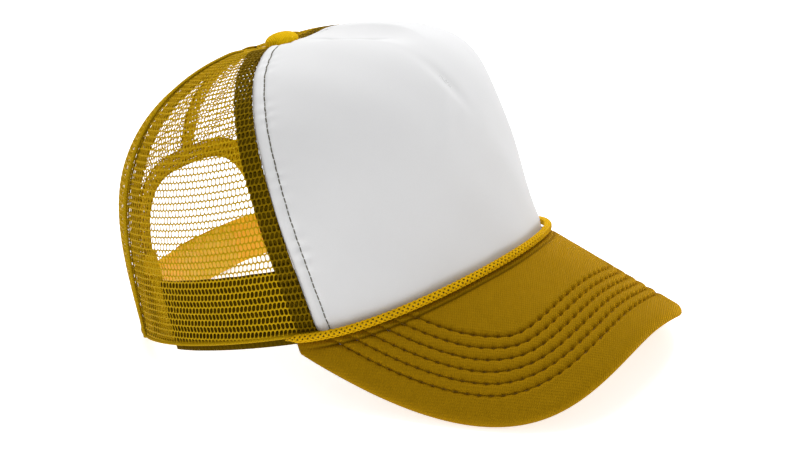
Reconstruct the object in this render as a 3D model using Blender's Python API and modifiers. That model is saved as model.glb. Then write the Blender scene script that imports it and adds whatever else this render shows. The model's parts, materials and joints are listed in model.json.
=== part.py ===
"""Five-panel trucker cap: foam front, mesh back, curved visor and a snap closure.

The cap is described level, as it is worn: +Z up, the visor towards -Y, the wearer's left at +X.
Its origin is then on the rim's plane, at the widest place. At the end the whole cap is tipped
nose-up, the way it rests on a table on the sides of its visor and the back of its rim.
Lengths are in metres and angles in radians, unless a name says degrees.
"""
import math

import bmesh
import bpy
from mathutils import Matrix, Vector

# ---- Crown: the rim and three meridians, each a cubic curve of (reach, height) points ----
HALF_WIDTH = 0.0870
FRONT_REACH = 0.1143
BACK_REACH = 0.0738
CROWN_HEIGHT = 0.1098
BUTTON_Y = -0.0145
BACK_SQUARENESS = 0.15
CROWN_SWELL = 0.0028
FRONT_SWELL_LOSS = 0.7

FRONT_MERIDIAN = ((FRONT_REACH, 0.0), (0.0992, 0.0725), (0.1225, 0.1151), (-BUTTON_Y, CROWN_HEIGHT))
SIDE_MERIDIAN = ((HALF_WIDTH, 0.0), (0.0866, 0.0538), (0.0993, CROWN_HEIGHT), (0.0, CROWN_HEIGHT))
BACK_MERIDIAN = ((BACK_REACH, 0.0), (0.0708, 0.0659), (0.0675, 0.1031), (BUTTON_Y, CROWN_HEIGHT))

# ---- Dart in the top of the front panel: a valley that opens towards the button ----
DART_DEPTH = 0.0046
DART_START = 0.62
DART_FULL = 0.84
DART_CLOSE_START = 0.86
DART_CLOSE_END = 0.985
DART_CLOSING = 0.85
DART_MIDDLE = 0.60
DART_HALF_WIDTH = 0.0044
DART_SPREAD = 0.053
DART_LEAST, DART_MOST = 0.0010, 0.0175
DART_LIP_ROUNDING = 0.12

# ---- Visor ----
VISOR_HALF_ANGLE = math.radians(64.0)
VISOR_LENGTH = 0.0646
VISOR_SLOPE = math.radians(31.8)
VISOR_BEND_RADIUS = 0.0761
VISOR_BEND_TIGHTENING = 0.19
VISOR_HALF_SPREAD = 0.0995
VISOR_OUTLINE_POWER = 2.27
VISOR_END = math.radians(1.0)
VISOR_ROOT_GAP = 0.0005

# ---- Layers, as depths below the outer surface ----
GAP = 0.0003
FABRIC = 0.0007
MESH_FABRIC = 0.0010
FOAM = 0.0030
SEAM_STRIP_DEPTH = MESH_FABRIC + 0.0005
SEAM_STRIP = 0.0010
STRAP_DEPTH = SEAM_STRIP_DEPTH + SEAM_STRIP + GAP
STRAP = 0.0013
SWEATBAND_DEPTH = FABRIC + GAP + FOAM + 2.0 * GAP
SWEATBAND = 0.0012
VISOR_COVER = 0.0008
VISOR_BOARD = 0.0018
VISOR_EDGE_INSET = 0.0022

# ---- Panels and seams ----
PANEL_TOP = 0.982
PANEL_ROWS = 16
STRIP_ROWS = 15
STRIP_WIDTH = 0.0085
SWEATBAND_HEIGHT = 0.0280
SWEATBAND_FOOT = -0.0030
SWEATBAND_END = math.radians(103.0)
FACING_FOOT = 0.0008
FACING_HEIGHT = 0.0300
FACING_END_GAP = 0.0025

# ---- Rear opening and its snap closure ----
ARCH_HALF_WIDTH = 0.0390
ARCH_HEIGHT = 0.0600
ARCH_POWER = 3.4
BINDING_WIDTH = 0.0085
BINDING_FOOT = 0.0002
STRAP_LOW = 0.0012
STRAP_HIGH = 0.0235
TAB_END = 0.0505
HINGE_X = 0.0370
HINGE_CLEARANCE = 0.0009
STUD_STRAP_TIP = 0.0205
HOLE_STRAP_TIP = -0.0225
STUD_STRAP_SINK = 0.0004
HOLE_STRAP_RISE = 0.0014
RAMP_START = 0.0020
RAMP_END = 0.0110
STUD_PITCH = 0.0070
STUD_COUNT = 6
STUD_FIRST_X = -0.0180
STUD_RADIUS = 0.0015
STUD_HEIGHT = 0.0024
HOLE_COUNT = 6
HOLE_RADIUS = 0.0025

# ---- Rope and top button ----
ROPE_RADIUS = 0.0019
ROPE_SEAT = 0.60
ROPE_HALF_ANGLE = math.radians(65.0)
BUTTON_RADIUS = 0.0075
BUTTON_DOME = 0.0040
BUTTON_SHELL = 0.0008
BUTTON_LIFT = 0.0008
RIVET_RADIUS = 0.0016
WASHER_RADIUS = 0.0060
WASHER = 0.0008
WASHER_DEPTH = 0.0068

# ---- How the cap rests on a table ----
REST_PITCH_DEGREES = 12.4

MUSTARD = (0.610, 0.340, 0.004)
DARK_MUSTARD = (0.420, 0.225, 0.004)
STRAP_YELLOW = (0.820, 0.450, 0.004)
WHITE = (0.860, 0.860, 0.870)


# ---------------------------------------------------------------- surfaces of the cap

def bezier(points, along):
    """The (reach, height) of a cubic curve at along, from 0 at the rim to 1 at the button."""
    rest = 1.0 - along
    weights = (rest ** 3, 3 * rest * rest * along, 3 * rest * along * along, along ** 3)
    return tuple(sum(w * p[axis] for w, p in zip(weights, points)) for axis in (0, 1))


def bend_radius(y):
    """The visor's side-to-side bend, tighter towards its front edge."""
    return VISOR_BEND_RADIUS + VISOR_BEND_TIGHTENING * (y + FRONT_REACH)


def visor_drop(x, y):
    """How far the bent visor falls at x, below its own middle line."""
    radius = bend_radius(y)
    return radius - math.sqrt(radius * radius - x * x)


def visor_surface_height(x, y):
    slope = (y + FRONT_REACH) * math.tan(VISOR_SLOPE)
    return RIM_RISE - visor_drop(x, y) + slope


def rim_plan(turn):
    """The rim seen from above; turn is 0 at the front and grows towards the wearer's left."""
    facing = math.cos(turn)
    reach = FRONT_REACH if facing > 0.0 else BACK_REACH
    square = 0.0 if facing > 0.0 else BACK_SQUARENESS
    return HALF_WIDTH * math.sin(turn) * (1.0 + square * facing * facing), -reach * facing


def corner_drop():
    x, y = rim_plan(VISOR_HALF_ANGLE)
    return visor_drop(x, y) - (y + FRONT_REACH) * math.tan(VISOR_SLOPE)


# The front of the rim rises with the visor's bend, so that the rim is level behind the visor.
RIM_RISE = corner_drop()


def rim_height(turn):
    wrapped = math.atan2(math.sin(turn), math.cos(turn))
    if abs(wrapped) >= VISOR_HALF_ANGLE:
        return 0.0
    return visor_surface_height(*rim_plan(turn))


def eased(value, start, end):
    """Smoothly from 0 at start to 1 at end."""
    share = min(max((value - start) / (end - start), 0.0), 1.0)
    return share * share * (3.0 - 2.0 * share)


def button_dimple(facing, level):
    """How far the crown swells up round the button, which sits in a shallow dimple."""
    ring = eased(level, 0.50, 0.88) - eased(level, 0.90, 0.975)
    front_loss = FRONT_SWELL_LOSS * max(facing, 0.0) ** 2
    return CROWN_SWELL * ring * (1.0 - front_loss)


def dart_valley(x, facing, level):
    """How far the dart pulls the front panel down at x."""
    half_width = min(max(DART_HALF_WIDTH + DART_SPREAD * (level - DART_MIDDLE), DART_LEAST), DART_MOST)
    share = 1.0 - (x / half_width) ** 2
    section = 0.5 * (share + math.sqrt(share * share + DART_LIP_ROUNDING ** 2))
    opening = eased(level, DART_START, DART_FULL) * eased(facing, 0.0, 0.6)
    closing = 1.0 - DART_CLOSING * eased(level, DART_CLOSE_START, DART_CLOSE_END)
    return DART_DEPTH * opening * closing * section


def crown_point(turn, level):
    """A point of the crown's outer surface; level is 0 at the rim and 1 at the button."""
    facing = math.cos(turn)
    front = facing > 0.0
    end_reach, end_height = bezier(FRONT_MERIDIAN if front else BACK_MERIDIAN, level)
    side_reach, side_height = bezier(SIDE_MERIDIAN, level)
    middle_y = BUTTON_Y * level * level * (3.0 - 2.0 * level)
    square = 0.0 if front else BACK_SQUARENESS * (1.0 - level * level)
    x = side_reach * math.sin(turn) * (1.0 + square * facing * facing)
    y = middle_y - (end_reach + (middle_y if front else -middle_y)) * facing
    weight = facing * facing
    z = end_height * weight + side_height * (1.0 - weight)
    z += button_dimple(facing, level) - dart_valley(x, facing, level)
    return Vector((x, y, z + rim_height(turn) * (1.0 - level) ** 1.5))


def crown_normal(turn, level):
    """The outward normal, from a small step round and a small step up."""
    step = 0.002
    low, high = max(level - step, 0.0), min(level + step, 0.995)
    round_step = crown_point(turn + step, level) - crown_point(turn - step, level)
    up_step = crown_point(turn, high) - crown_point(turn, low)
    return round_step.cross(up_step).normalized()


def crown_layer(turn, level, depth):
    return crown_point(turn, level) - crown_normal(turn, level) * depth


def moved_round(turn, level, distance):
    """The turn reached after walking a distance round the crown, at one level."""
    step = 0.002
    speed = (crown_point(turn + step, level) - crown_point(turn - step, level)).length / (2 * step)
    return turn + distance / speed


def level_at(turn, height):
    """The level where the crown is a height above the rim at this turn."""
    low, high = 0.0, 0.6
    foot = crown_point(turn, 0.0).z
    for _ in range(24):
        middle = 0.5 * (low + high)
        if crown_point(turn, middle).z - foot < height:
            low = middle
        else:
            high = middle
    return low


def turn_at_back(x, level):
    """The turn of the rear wall's point with this x."""
    low, high = 0.5 * math.pi, 1.5 * math.pi
    for _ in range(24):
        middle = 0.5 * (low + high)
        if crown_point(middle, level).x > x:
            low = middle
        else:
            high = middle
    return low


def back_layer(x, height, depth):
    """A point of a layer of the rear wall, given by its x and its height over the rim."""
    level = level_at(math.pi, height)
    return crown_layer(turn_at_back(x, level), level, depth)


def front_seam(level):
    """The turn of the seam between the foam front and the mesh."""
    return math.radians(58.1 + 2.6 * level + 7.9 * level * level)


def side_seam(level):
    """The turn of the seam between the side mesh and the rear mesh."""
    return math.radians(119.7 - 26.6 * level + 29.5 * level * level)


def visor_outline(angle):
    """The visor's free edge: its arc length across and its y, for an angle from 0 to pi."""
    corner_y = rim_plan(VISOR_HALF_ANGLE)[1]
    reach = FRONT_REACH + VISOR_LENGTH * math.cos(VISOR_SLOPE) + corner_y
    power = 2.0 / VISOR_OUTLINE_POWER
    across = -math.cos(angle)
    side = math.copysign(abs(across) ** power, across) * VISOR_HALF_SPREAD
    return side, corner_y - reach * math.sin(angle) ** power


def visor_point(angle, outward):
    """A point of the visor's top; outward is 0 at the crown and 1 at the free edge."""
    turn = VISOR_HALF_ANGLE * (2.0 * angle / math.pi - 1.0)
    root_x, root_y = rim_plan(turn)
    root_radius = bend_radius(root_y)
    root_side = root_radius * math.asin(root_x / root_radius)
    edge_side, edge_y = visor_outline(angle)
    side = root_side + (edge_side - root_side) * outward
    y = root_y + (edge_y - root_y) * outward
    radius = bend_radius(y)
    x = radius * math.sin(side / radius)
    return Vector((x, y, visor_surface_height(x, y)))


def visor_normal(angle, outward):
    step = 0.01
    across = visor_point(angle + step, outward) - visor_point(angle - step, outward)
    along = visor_point(angle, outward + step) - visor_point(angle, outward - step)
    return along.cross(across).normalized()


def visor_width(angle):
    """The visor's width here, measured square to its free edge; it runs out at the two ends."""
    row = visor_point(angle, 1.0) - visor_point(angle, 0.0)
    edge = visor_point(angle + 0.01, 1.0) - visor_point(angle - 0.01, 1.0)
    return row.cross(edge.normalized()).length


def visor_layer(angle, outward, depth):
    """A point below the visor's top, pushed clear of the crown's edge by the root gap."""
    away = visor_point(angle, 1.0) - visor_point(angle, 0.0)
    shift = away.normalized() * VISOR_ROOT_GAP * (1.0 - outward)
    return visor_point(angle, outward) + shift - visor_normal(angle, outward) * depth


# ---------------------------------------------------------------- building tools

def make_material(name, colour, roughness, metallic=0.0):
    material = bpy.data.materials.new(name)
    material.use_nodes = True
    shader = material.node_tree.nodes["Principled BSDF"]
    shader.inputs["Base Color"].default_value = (*colour, 1.0)
    shader.inputs["Roughness"].default_value = roughness
    shader.inputs["Metallic"].default_value = metallic
    material.diffuse_color = (*colour, 1.0)
    return material


def new_collection(name):
    collection = bpy.data.collections.new(name)
    bpy.context.scene.collection.children.link(collection)
    return collection


def add_object(name, mesh, collection, material=None):
    obj = bpy.data.objects.new(name, mesh)
    collection.objects.link(obj)
    if material is not None:
        mesh.materials.append(material)
    return obj


def shade(mesh, sharp_degrees=40.0):
    mesh.shade_smooth()
    mesh.set_sharp_from_angle(angle=math.radians(sharp_degrees))


def warped_grid(name, columns, rows, surface):
    """A grid of columns by rows cells, laid on surface(u, w) with u and w from 0 to 1."""
    mesh = bpy.data.meshes.new(name)
    bm = bmesh.new()
    bmesh.ops.create_grid(bm, x_segments=columns, y_segments=rows, size=0.5)
    for vertex in bm.verts:
        vertex.co = surface(vertex.co.x + 0.5, vertex.co.y + 0.5)
    bm.to_mesh(mesh)
    bm.free()
    shade(mesh)
    return mesh


def layer(name, columns, rows, surface, thickness, material, collection):
    """A cloth, foam or plastic layer: a warped grid thickened inwards from its outer face."""
    obj = add_object(name, warped_grid(name, columns, rows, surface), collection, material)
    solidify = obj.modifiers.new("thickness", "SOLIDIFY")
    solidify.thickness = thickness
    solidify.offset = -1.0
    solidify.use_even_offset = True
    return obj


def boolean(obj, cutter, operation):
    modifier = obj.modifiers.new(operation.lower(), "BOOLEAN")
    modifier.operation = operation
    modifier.solver = "EXACT"
    modifier.object = cutter


def hide_as_cutter(obj):
    obj.hide_render = True
    obj.display_type = "WIRE"


def arch_outline(grow, count=28):
    """The rear opening's outline, grown outwards, from one foot over the top to the other."""
    points = []
    for index in range(count + 1):
        angle = math.pi * index / count
        power = 2.0 / ARCH_POWER
        side = -math.cos(angle)
        x = math.copysign(abs(side) ** power, side) * (ARCH_HALF_WIDTH + grow)
        points.append((x, math.sin(angle) ** power * (ARCH_HEIGHT + grow)))
    return points


def arch_prism(name, grow, collection):
    """A solid block of the opening's outline, run through the rear wall and below the rim."""
    below, inside, depth = 0.020, 0.020, 0.090
    bm = bmesh.new()
    outline = [(-ARCH_HALF_WIDTH - grow, -below), *arch_outline(grow), (ARCH_HALF_WIDTH + grow, -below)]
    face = bm.faces.new([bm.verts.new((x, inside, z)) for x, z in outline])
    pushed = bmesh.ops.extrude_face_region(bm, geom=[face])
    corners = [item for item in pushed["geom"] if isinstance(item, bmesh.types.BMVert)]
    bmesh.ops.translate(bm, verts=corners, vec=(0.0, depth, 0.0))
    bmesh.ops.recalc_face_normals(bm, faces=bm.faces)
    mesh = bpy.data.meshes.new(name)
    bm.to_mesh(mesh)
    bm.free()
    obj = add_object(name, mesh, collection)
    hide_as_cutter(obj)
    return obj


def peg_mesh(name, radius, length, segments=12):
    mesh = bpy.data.meshes.new(name)
    bm = bmesh.new()
    bmesh.ops.create_cone(bm, cap_ends=True, segments=segments, radius1=radius, radius2=radius,
                          depth=length)
    bm.to_mesh(mesh)
    bm.free()
    return mesh


def turned(name, profile, segments, material, collection, location):
    """A body turned about a vertical axis, from a closed or axis-to-axis (radius, height) profile."""
    mesh = bpy.data.meshes.new(name)
    bm = bmesh.new()
    corners = [bm.verts.new((radius, 0.0, height)) for radius, height in profile]
    for first, second in zip(corners, corners[1:]):
        bm.edges.new((first, second))
    bm.to_mesh(mesh)
    bm.free()
    obj = add_object(name, mesh, collection, material)
    obj.location = location
    screw = obj.modifiers.new("turn", "SCREW")
    screw.steps = segments
    screw.render_steps = segments
    screw.use_merge_vertices = True
    screw.merge_threshold = 0.00001
    screw.use_smooth_shade = True
    return obj


# ---------------------------------------------------------------- pieces of the crown

def crown_panel(name, edges, cells, depth, thickness, material, collection):
    """A panel between two edge turns, each a function of the level. All panels share their rows."""
    left_edge, right_edge = edges
    columns, rows = cells

    def surface(u, w):
        level = PANEL_TOP * w * rows / PANEL_ROWS
        first, second = left_edge(level), right_edge(level)
        return crown_layer(first + (second - first) * u, level, depth)
    return layer(name, columns, rows, surface, thickness, material, collection)


def inset_edge(seam, side, distance):
    """An edge that keeps a distance from a seam; side is 1 on the left half and -1 on the right."""
    return lambda level: moved_round(side * seam(level), level, distance)


def build_front(materials, parts):
    fabric_edges = inset_edge(front_seam, -1, GAP / 2), inset_edge(front_seam, 1, -GAP / 2)
    foam_edges = inset_edge(front_seam, -1, GAP), inset_edge(front_seam, 1, -GAP)
    cells = 20, PANEL_ROWS
    crown_panel("front_panel_fabric", fabric_edges, cells, 0.0, FABRIC, materials["white"], parts)
    crown_panel("front_panel_foam", foam_edges, cells, FABRIC + GAP, FOAM, materials["foam"], parts)


def back_edge(distance):
    return lambda level: moved_round(math.pi, level, distance)


def mirrored(edges, side):
    """The two edges of a panel on the wearer's left (side 1), or swapped over to the right (-1)."""
    first, second = edges
    if side > 0:
        return first, second
    return (lambda level: -second(level)), (lambda level: -first(level))


def build_mesh_panels(materials, parts, arch_cutter):
    for side, word in ((1, "left"), (-1, "right")):
        side_edges = mirrored((inset_edge(front_seam, 1, GAP / 2), inset_edge(side_seam, 1, -GAP / 2)), side)
        crown_panel(f"side_mesh_{word}", side_edges, (8, PANEL_ROWS), 0.0, MESH_FABRIC,
                    materials["mesh"], parts)
        rear_edges = mirrored((inset_edge(side_seam, 1, GAP / 2), back_edge(-GAP / 2)), side)
        rear = crown_panel(f"rear_mesh_{word}", rear_edges, (8, PANEL_ROWS), 0.0, MESH_FABRIC,
                           materials["mesh"], parts)
        boolean(rear, arch_cutter, "DIFFERENCE")


def build_seam_strips(materials, parts, strip_cutter):
    """Doubled strips of mesh that back the seams, on the inside of the crown."""
    for side, word in ((1, "left"), (-1, "right")):
        for seam_name, seam, start, end in (
                ("front", front_seam, 2 * GAP, STRIP_WIDTH),
                ("side", side_seam, -STRIP_WIDTH, -GAP)):
            edges = mirrored((inset_edge(seam, 1, start), inset_edge(seam, 1, end)), side)
            crown_panel(f"{seam_name}_seam_strip_{word}", edges, (2, STRIP_ROWS), SEAM_STRIP_DEPTH,
                        SEAM_STRIP, materials["strip"], parts)
    edges = back_edge(-STRIP_WIDTH / 2), back_edge(STRIP_WIDTH / 2)
    middle = crown_panel("back_seam_strip", edges, (2, STRIP_ROWS), SEAM_STRIP_DEPTH, SEAM_STRIP,
                         materials["strip"], parts)
    boolean(middle, strip_cutter, "DIFFERENCE")


def build_arch_binding(materials, parts, cutters, arch_cutter):
    """The strip round the rear opening: the rear wall's inner layer kept between two outlines."""
    reach = ARCH_HALF_WIDTH + 2 * BINDING_WIDTH

    def surface(u, w):
        height = BINDING_FOOT + (ARCH_HEIGHT + 2 * BINDING_WIDTH) * w
        return back_layer(reach * (1 - 2 * u), height, SEAM_STRIP_DEPTH)
    binding = layer("arch_binding", 14, 9, surface, SEAM_STRIP, materials["strip"], parts)
    boolean(binding, arch_prism("binding_outer_outline", BINDING_WIDTH, cutters), "INTERSECT")
    boolean(binding, arch_cutter, "DIFFERENCE")


def build_sweatband(materials, parts):
    """The band inside the rim, from one side over the front to the other; its foot hangs a little low."""
    def surface(u, w):
        turn = SWEATBAND_END * (2.0 * u - 1.0)
        height = SWEATBAND_FOOT + (SWEATBAND_HEIGHT - SWEATBAND_FOOT) * w
        point = crown_layer(turn, level_at(turn, max(height, 0.0)), SWEATBAND_DEPTH)
        return point + Vector((0.0, 0.0, min(height, 0.0)))
    layer("sweatband", 32, 2, surface, SWEATBAND, materials["sweatband"], parts)


def build_rear_facings(materials, parts):
    """Doubled mesh inside the rear of the rim, from the sweatband's ends to the rear opening."""
    first = SWEATBAND_END + GAP / HALF_WIDTH
    last = turn_at_back(ARCH_HALF_WIDTH + FACING_END_GAP, 0.05)
    for side, word in ((1, "left"), (-1, "right")):
        start, end = (first, last) if side > 0 else (-last, -first)

        def surface(u, w):
            turn = start + (end - start) * u
            height = FACING_FOOT + (FACING_HEIGHT - FACING_FOOT) * w
            return crown_layer(turn, level_at(turn, height), SWEATBAND_DEPTH)
        layer(f"rear_facing_{word}", 10, 2, surface, SEAM_STRIP, materials["strip"], parts)


# ---------------------------------------------------------------- pieces of the visor

def visor_sheet(name, depth, thickness, inset, lip, material, collection):
    """A layer of the visor. A lip turns the outer edge down, over the layers below."""
    rows = 6
    first, last = VISOR_END, math.pi - VISOR_END
    narrow, full = 0.003, 0.007
    most_inset, least_lip = 0.45, 0.02

    def surface(u, w):
        angle = last + (first - last) * u
        width = visor_width(angle)
        outward = min(w * rows / (rows - 1), 1.0) if lip else w
        outward *= 1.0 - min(inset / width, most_inset)
        point = visor_layer(angle, outward, depth)
        if w > 1.0 - 0.5 / rows:
            share = min(max((width - narrow) / (full - narrow), least_lip), 1.0)
            point -= visor_normal(angle, 1.0) * lip * share
        return point
    return layer(name, 26, rows, surface, thickness, material, collection)


def build_visor(materials, parts):
    board_depth = VISOR_COVER + GAP
    under_depth = board_depth + VISOR_BOARD + GAP
    visor_sheet("visor_top_cover", 0.0, VISOR_COVER, 0.0, under_depth + VISOR_COVER / 2,
                materials["mustard"], parts)
    visor_sheet("visor_board", board_depth, VISOR_BOARD, VISOR_EDGE_INSET, 0.0, materials["board"], parts)
    visor_sheet("visor_under_cover", under_depth, VISOR_COVER, VISOR_EDGE_INSET / 1.6, 0.0,
                materials["mustard"], parts)


def build_rope(materials, parts):
    """The braided rope that lies in the corner between the crown and the visor."""
    count = 36
    curve = bpy.data.curves.new("visor_rope", "CURVE")
    curve.dimensions = "3D"
    curve.bevel_depth = ROPE_RADIUS
    curve.bevel_resolution = 2
    curve.use_fill_caps = True
    spline = curve.splines.new("POLY")
    spline.points.add(count - 1)
    for index in range(count):
        turn = ROPE_HALF_ANGLE * (2.0 * index / (count - 1) - 1.0)
        level = level_at(turn, ROPE_SEAT * (ROPE_RADIUS + GAP))
        centre = crown_layer(turn, level, -(ROPE_RADIUS + GAP))
        spline.points[index].co = (*centre, 1.0)
    add_object("visor_rope", curve, parts, materials["mustard"])


# ---------------------------------------------------------------- button and snap closure

def build_button(materials, parts):
    """A fabric-covered dome on a metal shell, riveted through the panels to an inner washer."""
    top = Vector((0.0, BUTTON_Y, CROWN_HEIGHT + BUTTON_LIFT))

    def dome(radius, height, count=5):
        return [(radius * math.sin(0.5 * math.pi * i / count), height * math.cos(0.5 * math.pi * i / count))
                for i in range(count + 1)]
    outer = dome(BUTTON_RADIUS, BUTTON_DOME)
    middle_radius, middle_height = BUTTON_RADIUS - BUTTON_SHELL, BUTTON_DOME - BUTTON_SHELL
    turned("button_cover", outer + dome(middle_radius, middle_height)[::-1], 20, materials["mustard"], parts, top)
    shell_radius, shell_height = middle_radius - GAP, middle_height - GAP
    inner = dome(shell_radius - BUTTON_SHELL, shell_height - BUTTON_SHELL)
    turned("button_shell", dome(shell_radius, shell_height) + inner[::-1], 20, materials["metal"], parts, top)
    head = shell_height - BUTTON_SHELL - GAP
    rivet = [(0.0, head), (RIVET_RADIUS, head), (RIVET_RADIUS, -WASHER_DEPTH), (WASHER_RADIUS, -WASHER_DEPTH),
             (WASHER_RADIUS, -WASHER_DEPTH - WASHER), (0.0, -WASHER_DEPTH - WASHER)]
    turned("button_rivet", rivet, 20, materials["metal"], parts, top)


def strap_sheet(name, start_x, end_x, columns, depth_at, material, collection):
    """A stretch of the plastic strap, following the rear wall at a depth that can change."""
    first, last = (start_x, end_x) if start_x > end_x else (end_x, start_x)

    def surface(u, w):
        x = first + (last - first) * u
        return back_layer(x, STRAP_LOW + (STRAP_HIGH - STRAP_LOW) * w, depth_at(x))
    return layer(name, columns, 3, surface, STRAP, material, collection)


def pegs_along(name, positions, radius, length, lift, cutters):
    """Pegs standing square on the strap's middle line, joined into one hidden tool."""
    height = 0.5 * (STRAP_LOW + STRAP_HIGH)
    level = level_at(math.pi, height)
    bm = bmesh.new()
    peg = peg_mesh(name + "_single", radius, length)
    for x in positions:
        turn = turn_at_back(x, level)
        normal = crown_normal(turn, level)
        centre = back_layer(x, height, STRAP_DEPTH) + normal * lift
        before = len(bm.verts)
        bm.from_mesh(peg)
        bm.verts.ensure_lookup_table()
        place = Matrix.Translation(centre) @ normal.to_track_quat("Z", "Y").to_matrix().to_4x4()
        bmesh.ops.transform(bm, matrix=place, verts=bm.verts[before:])
    mesh = bpy.data.meshes.new(name)
    bm.to_mesh(mesh)
    bm.free()
    obj = add_object(name, mesh, cutters)
    hide_as_cutter(obj)
    return obj


def build_straps(materials, parts, cutters):
    """Two snap straps. Each sewn tab stays with the cap, and each free end swings on a hinge line."""
    for side, word in ((-1, "stud"), (1, "hole")):
        strap_sheet(f"{word}_strap_tab", side * TAB_END, side * (HINGE_X + HINGE_CLEARANCE), 4,
                    lambda x: STRAP_DEPTH, materials["strap"], parts)
    root = HINGE_X - HINGE_CLEARANCE

    def stud_depth(x):
        return STRAP_DEPTH + STUD_STRAP_SINK * eased(x, -root + RAMP_START, -root + RAMP_END)

    def hole_depth(x):
        return STRAP_DEPTH - HOLE_STRAP_RISE * eased(x, root - RAMP_START, root - RAMP_END)
    stud_strap = strap_sheet("stud_strap", -root, STUD_STRAP_TIP, 16, stud_depth, materials["strap"], parts)
    hole_strap = strap_sheet("hole_strap", HOLE_STRAP_TIP, root, 16, hole_depth, materials["strap"], parts)
    stud_places = [STUD_FIRST_X + STUD_PITCH * index for index in range(STUD_COUNT)]
    hole_places = [STUD_FIRST_X + STUD_PITCH * index for index in range(HOLE_COUNT)]
    buried = STRAP / 2
    studs = pegs_along("studs", stud_places, STUD_RADIUS, STUD_HEIGHT + buried,
                       -STUD_STRAP_SINK + (STUD_HEIGHT - buried) / 2, cutters)
    boolean(stud_strap, studs, "UNION")
    holes = pegs_along("holes", hole_places, HOLE_RADIUS, 3.0 * STRAP, HOLE_STRAP_RISE - STRAP / 2, cutters)
    boolean(hole_strap, holes, "DIFFERENCE")
    for strap, side in ((stud_strap, -1), (hole_strap, 1)):
        put_on_hinge(strap, side)


def hinge_line(side):
    """The straight line that a strap swings about: its middle point and its upward direction."""
    depth = STRAP_DEPTH + STRAP / 2
    low = back_layer(side * HINGE_X, STRAP_LOW, depth)
    high = back_layer(side * HINGE_X, STRAP_HIGH, depth)
    return (low + high) / 2, (high - low).normalized()


def put_on_hinge(obj, side):
    """Moves a strap's own origin onto its hinge line, without moving the strap."""
    centre, direction = hinge_line(side)
    place = Matrix.Translation(centre) @ direction.to_track_quat("Z", "Y").to_matrix().to_4x4()
    obj.data.transform(place.inverted())
    obj.matrix_world = place


# ---------------------------------------------------------------- assembly

def evaluated_corners(collection, matrix):
    depsgraph = bpy.context.evaluated_depsgraph_get()
    for obj in collection.objects:
        if obj.type in {"MESH", "CURVE"}:
            mesh = obj.evaluated_get(depsgraph).to_mesh()
            for vertex in mesh.vertices:
                yield matrix @ obj.matrix_world @ vertex.co
            obj.evaluated_get(depsgraph).to_mesh_clear()


def rest_on_table(parts, cutters):
    """Tips the cap nose-up and sets the middle of its footprint's box on the origin."""
    bpy.context.view_layer.update()
    tip = Matrix.Rotation(math.radians(-REST_PITCH_DEGREES), 4, "X")
    corners = list(evaluated_corners(parts, tip))
    low = [min(corner[axis] for corner in corners) for axis in range(3)]
    high = [max(corner[axis] for corner in corners) for axis in range(3)]
    stand = bpy.data.objects.new("rest_pose", None)
    parts.objects.link(stand)
    stand.rotation_euler.x = math.radians(-REST_PITCH_DEGREES)
    stand.location = (-(low[0] + high[0]) / 2, -(low[1] + high[1]) / 2, -low[2])
    for obj in [*parts.objects, *cutters.objects]:
        if obj is not stand:
            obj.parent = stand


def main():
    for obj in list(bpy.data.objects):
        bpy.data.objects.remove(obj, do_unlink=True)
    parts = new_collection("trucker_cap")
    cutters = new_collection("cutters")
    materials = {
        "white": make_material("white_polyester", WHITE, 0.85),
        "foam": make_material("white_foam", WHITE, 0.95),
        "mesh": make_material("mustard_mesh", MUSTARD, 0.80),
        "strip": make_material("doubled_mesh", DARK_MUSTARD, 0.80),
        "mustard": make_material("mustard_twill", MUSTARD, 0.80),
        "sweatband": make_material("sweatband_cloth", DARK_MUSTARD, 0.90),
        "board": make_material("visor_board_plastic", (0.75, 0.75, 0.75), 0.50),
        "strap": make_material("snap_plastic", STRAP_YELLOW, 0.35),
        "metal": make_material("button_metal", (0.60, 0.60, 0.60), 0.35, 1.0),
    }
    arch_cutter = arch_prism("arch_opening", 0.0, cutters)
    strip_cutter = arch_prism("strip_end", BINDING_WIDTH + GAP, cutters)
    build_front(materials, parts)
    build_mesh_panels(materials, parts, arch_cutter)
    build_seam_strips(materials, parts, strip_cutter)
    build_arch_binding(materials, parts, cutters, arch_cutter)
    build_sweatband(materials, parts)
    build_rear_facings(materials, parts)
    build_visor(materials, parts)
    build_rope(materials, parts)
    build_button(materials, parts)
    build_straps(materials, parts, cutters)
    rest_on_table(parts, cutters)


main()
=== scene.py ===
"""Looks of the trucker cap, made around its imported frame.

Surfaces are described as in the frame's own design: the cap level, as it is worn, with +Z up, the
visor towards -Y and the wearer's left at +X. PLACE then sets them in the resting pose, which is read
from the record's head_opening mount. Lengths are in metres and angles in radians.
"""
import json
import math

import bpy
import numpy as np
from mathutils import Matrix, Vector
from mathutils.kdtree import KDTree


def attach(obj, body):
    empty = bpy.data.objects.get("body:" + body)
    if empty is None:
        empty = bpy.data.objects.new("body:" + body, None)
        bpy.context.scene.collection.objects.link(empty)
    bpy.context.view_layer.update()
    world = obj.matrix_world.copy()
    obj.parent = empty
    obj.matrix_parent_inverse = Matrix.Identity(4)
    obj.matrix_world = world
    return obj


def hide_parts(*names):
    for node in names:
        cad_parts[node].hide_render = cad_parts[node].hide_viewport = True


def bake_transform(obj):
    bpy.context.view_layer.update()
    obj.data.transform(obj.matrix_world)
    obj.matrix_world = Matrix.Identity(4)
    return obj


# ---- Crown ----
HALF_WIDTH = 0.0870
FRONT_REACH = 0.1143
BACK_REACH = 0.0738
CROWN_HEIGHT = 0.1098
BUTTON_Y = -0.0145
BACK_SQUARENESS = 0.15
CROWN_SWELL = 0.0028
FRONT_SWELL_LOSS = 0.7
FRONT_MERIDIAN = ((FRONT_REACH, 0.0), (0.0992, 0.0725), (0.1225, 0.1151), (-BUTTON_Y, CROWN_HEIGHT))
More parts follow.
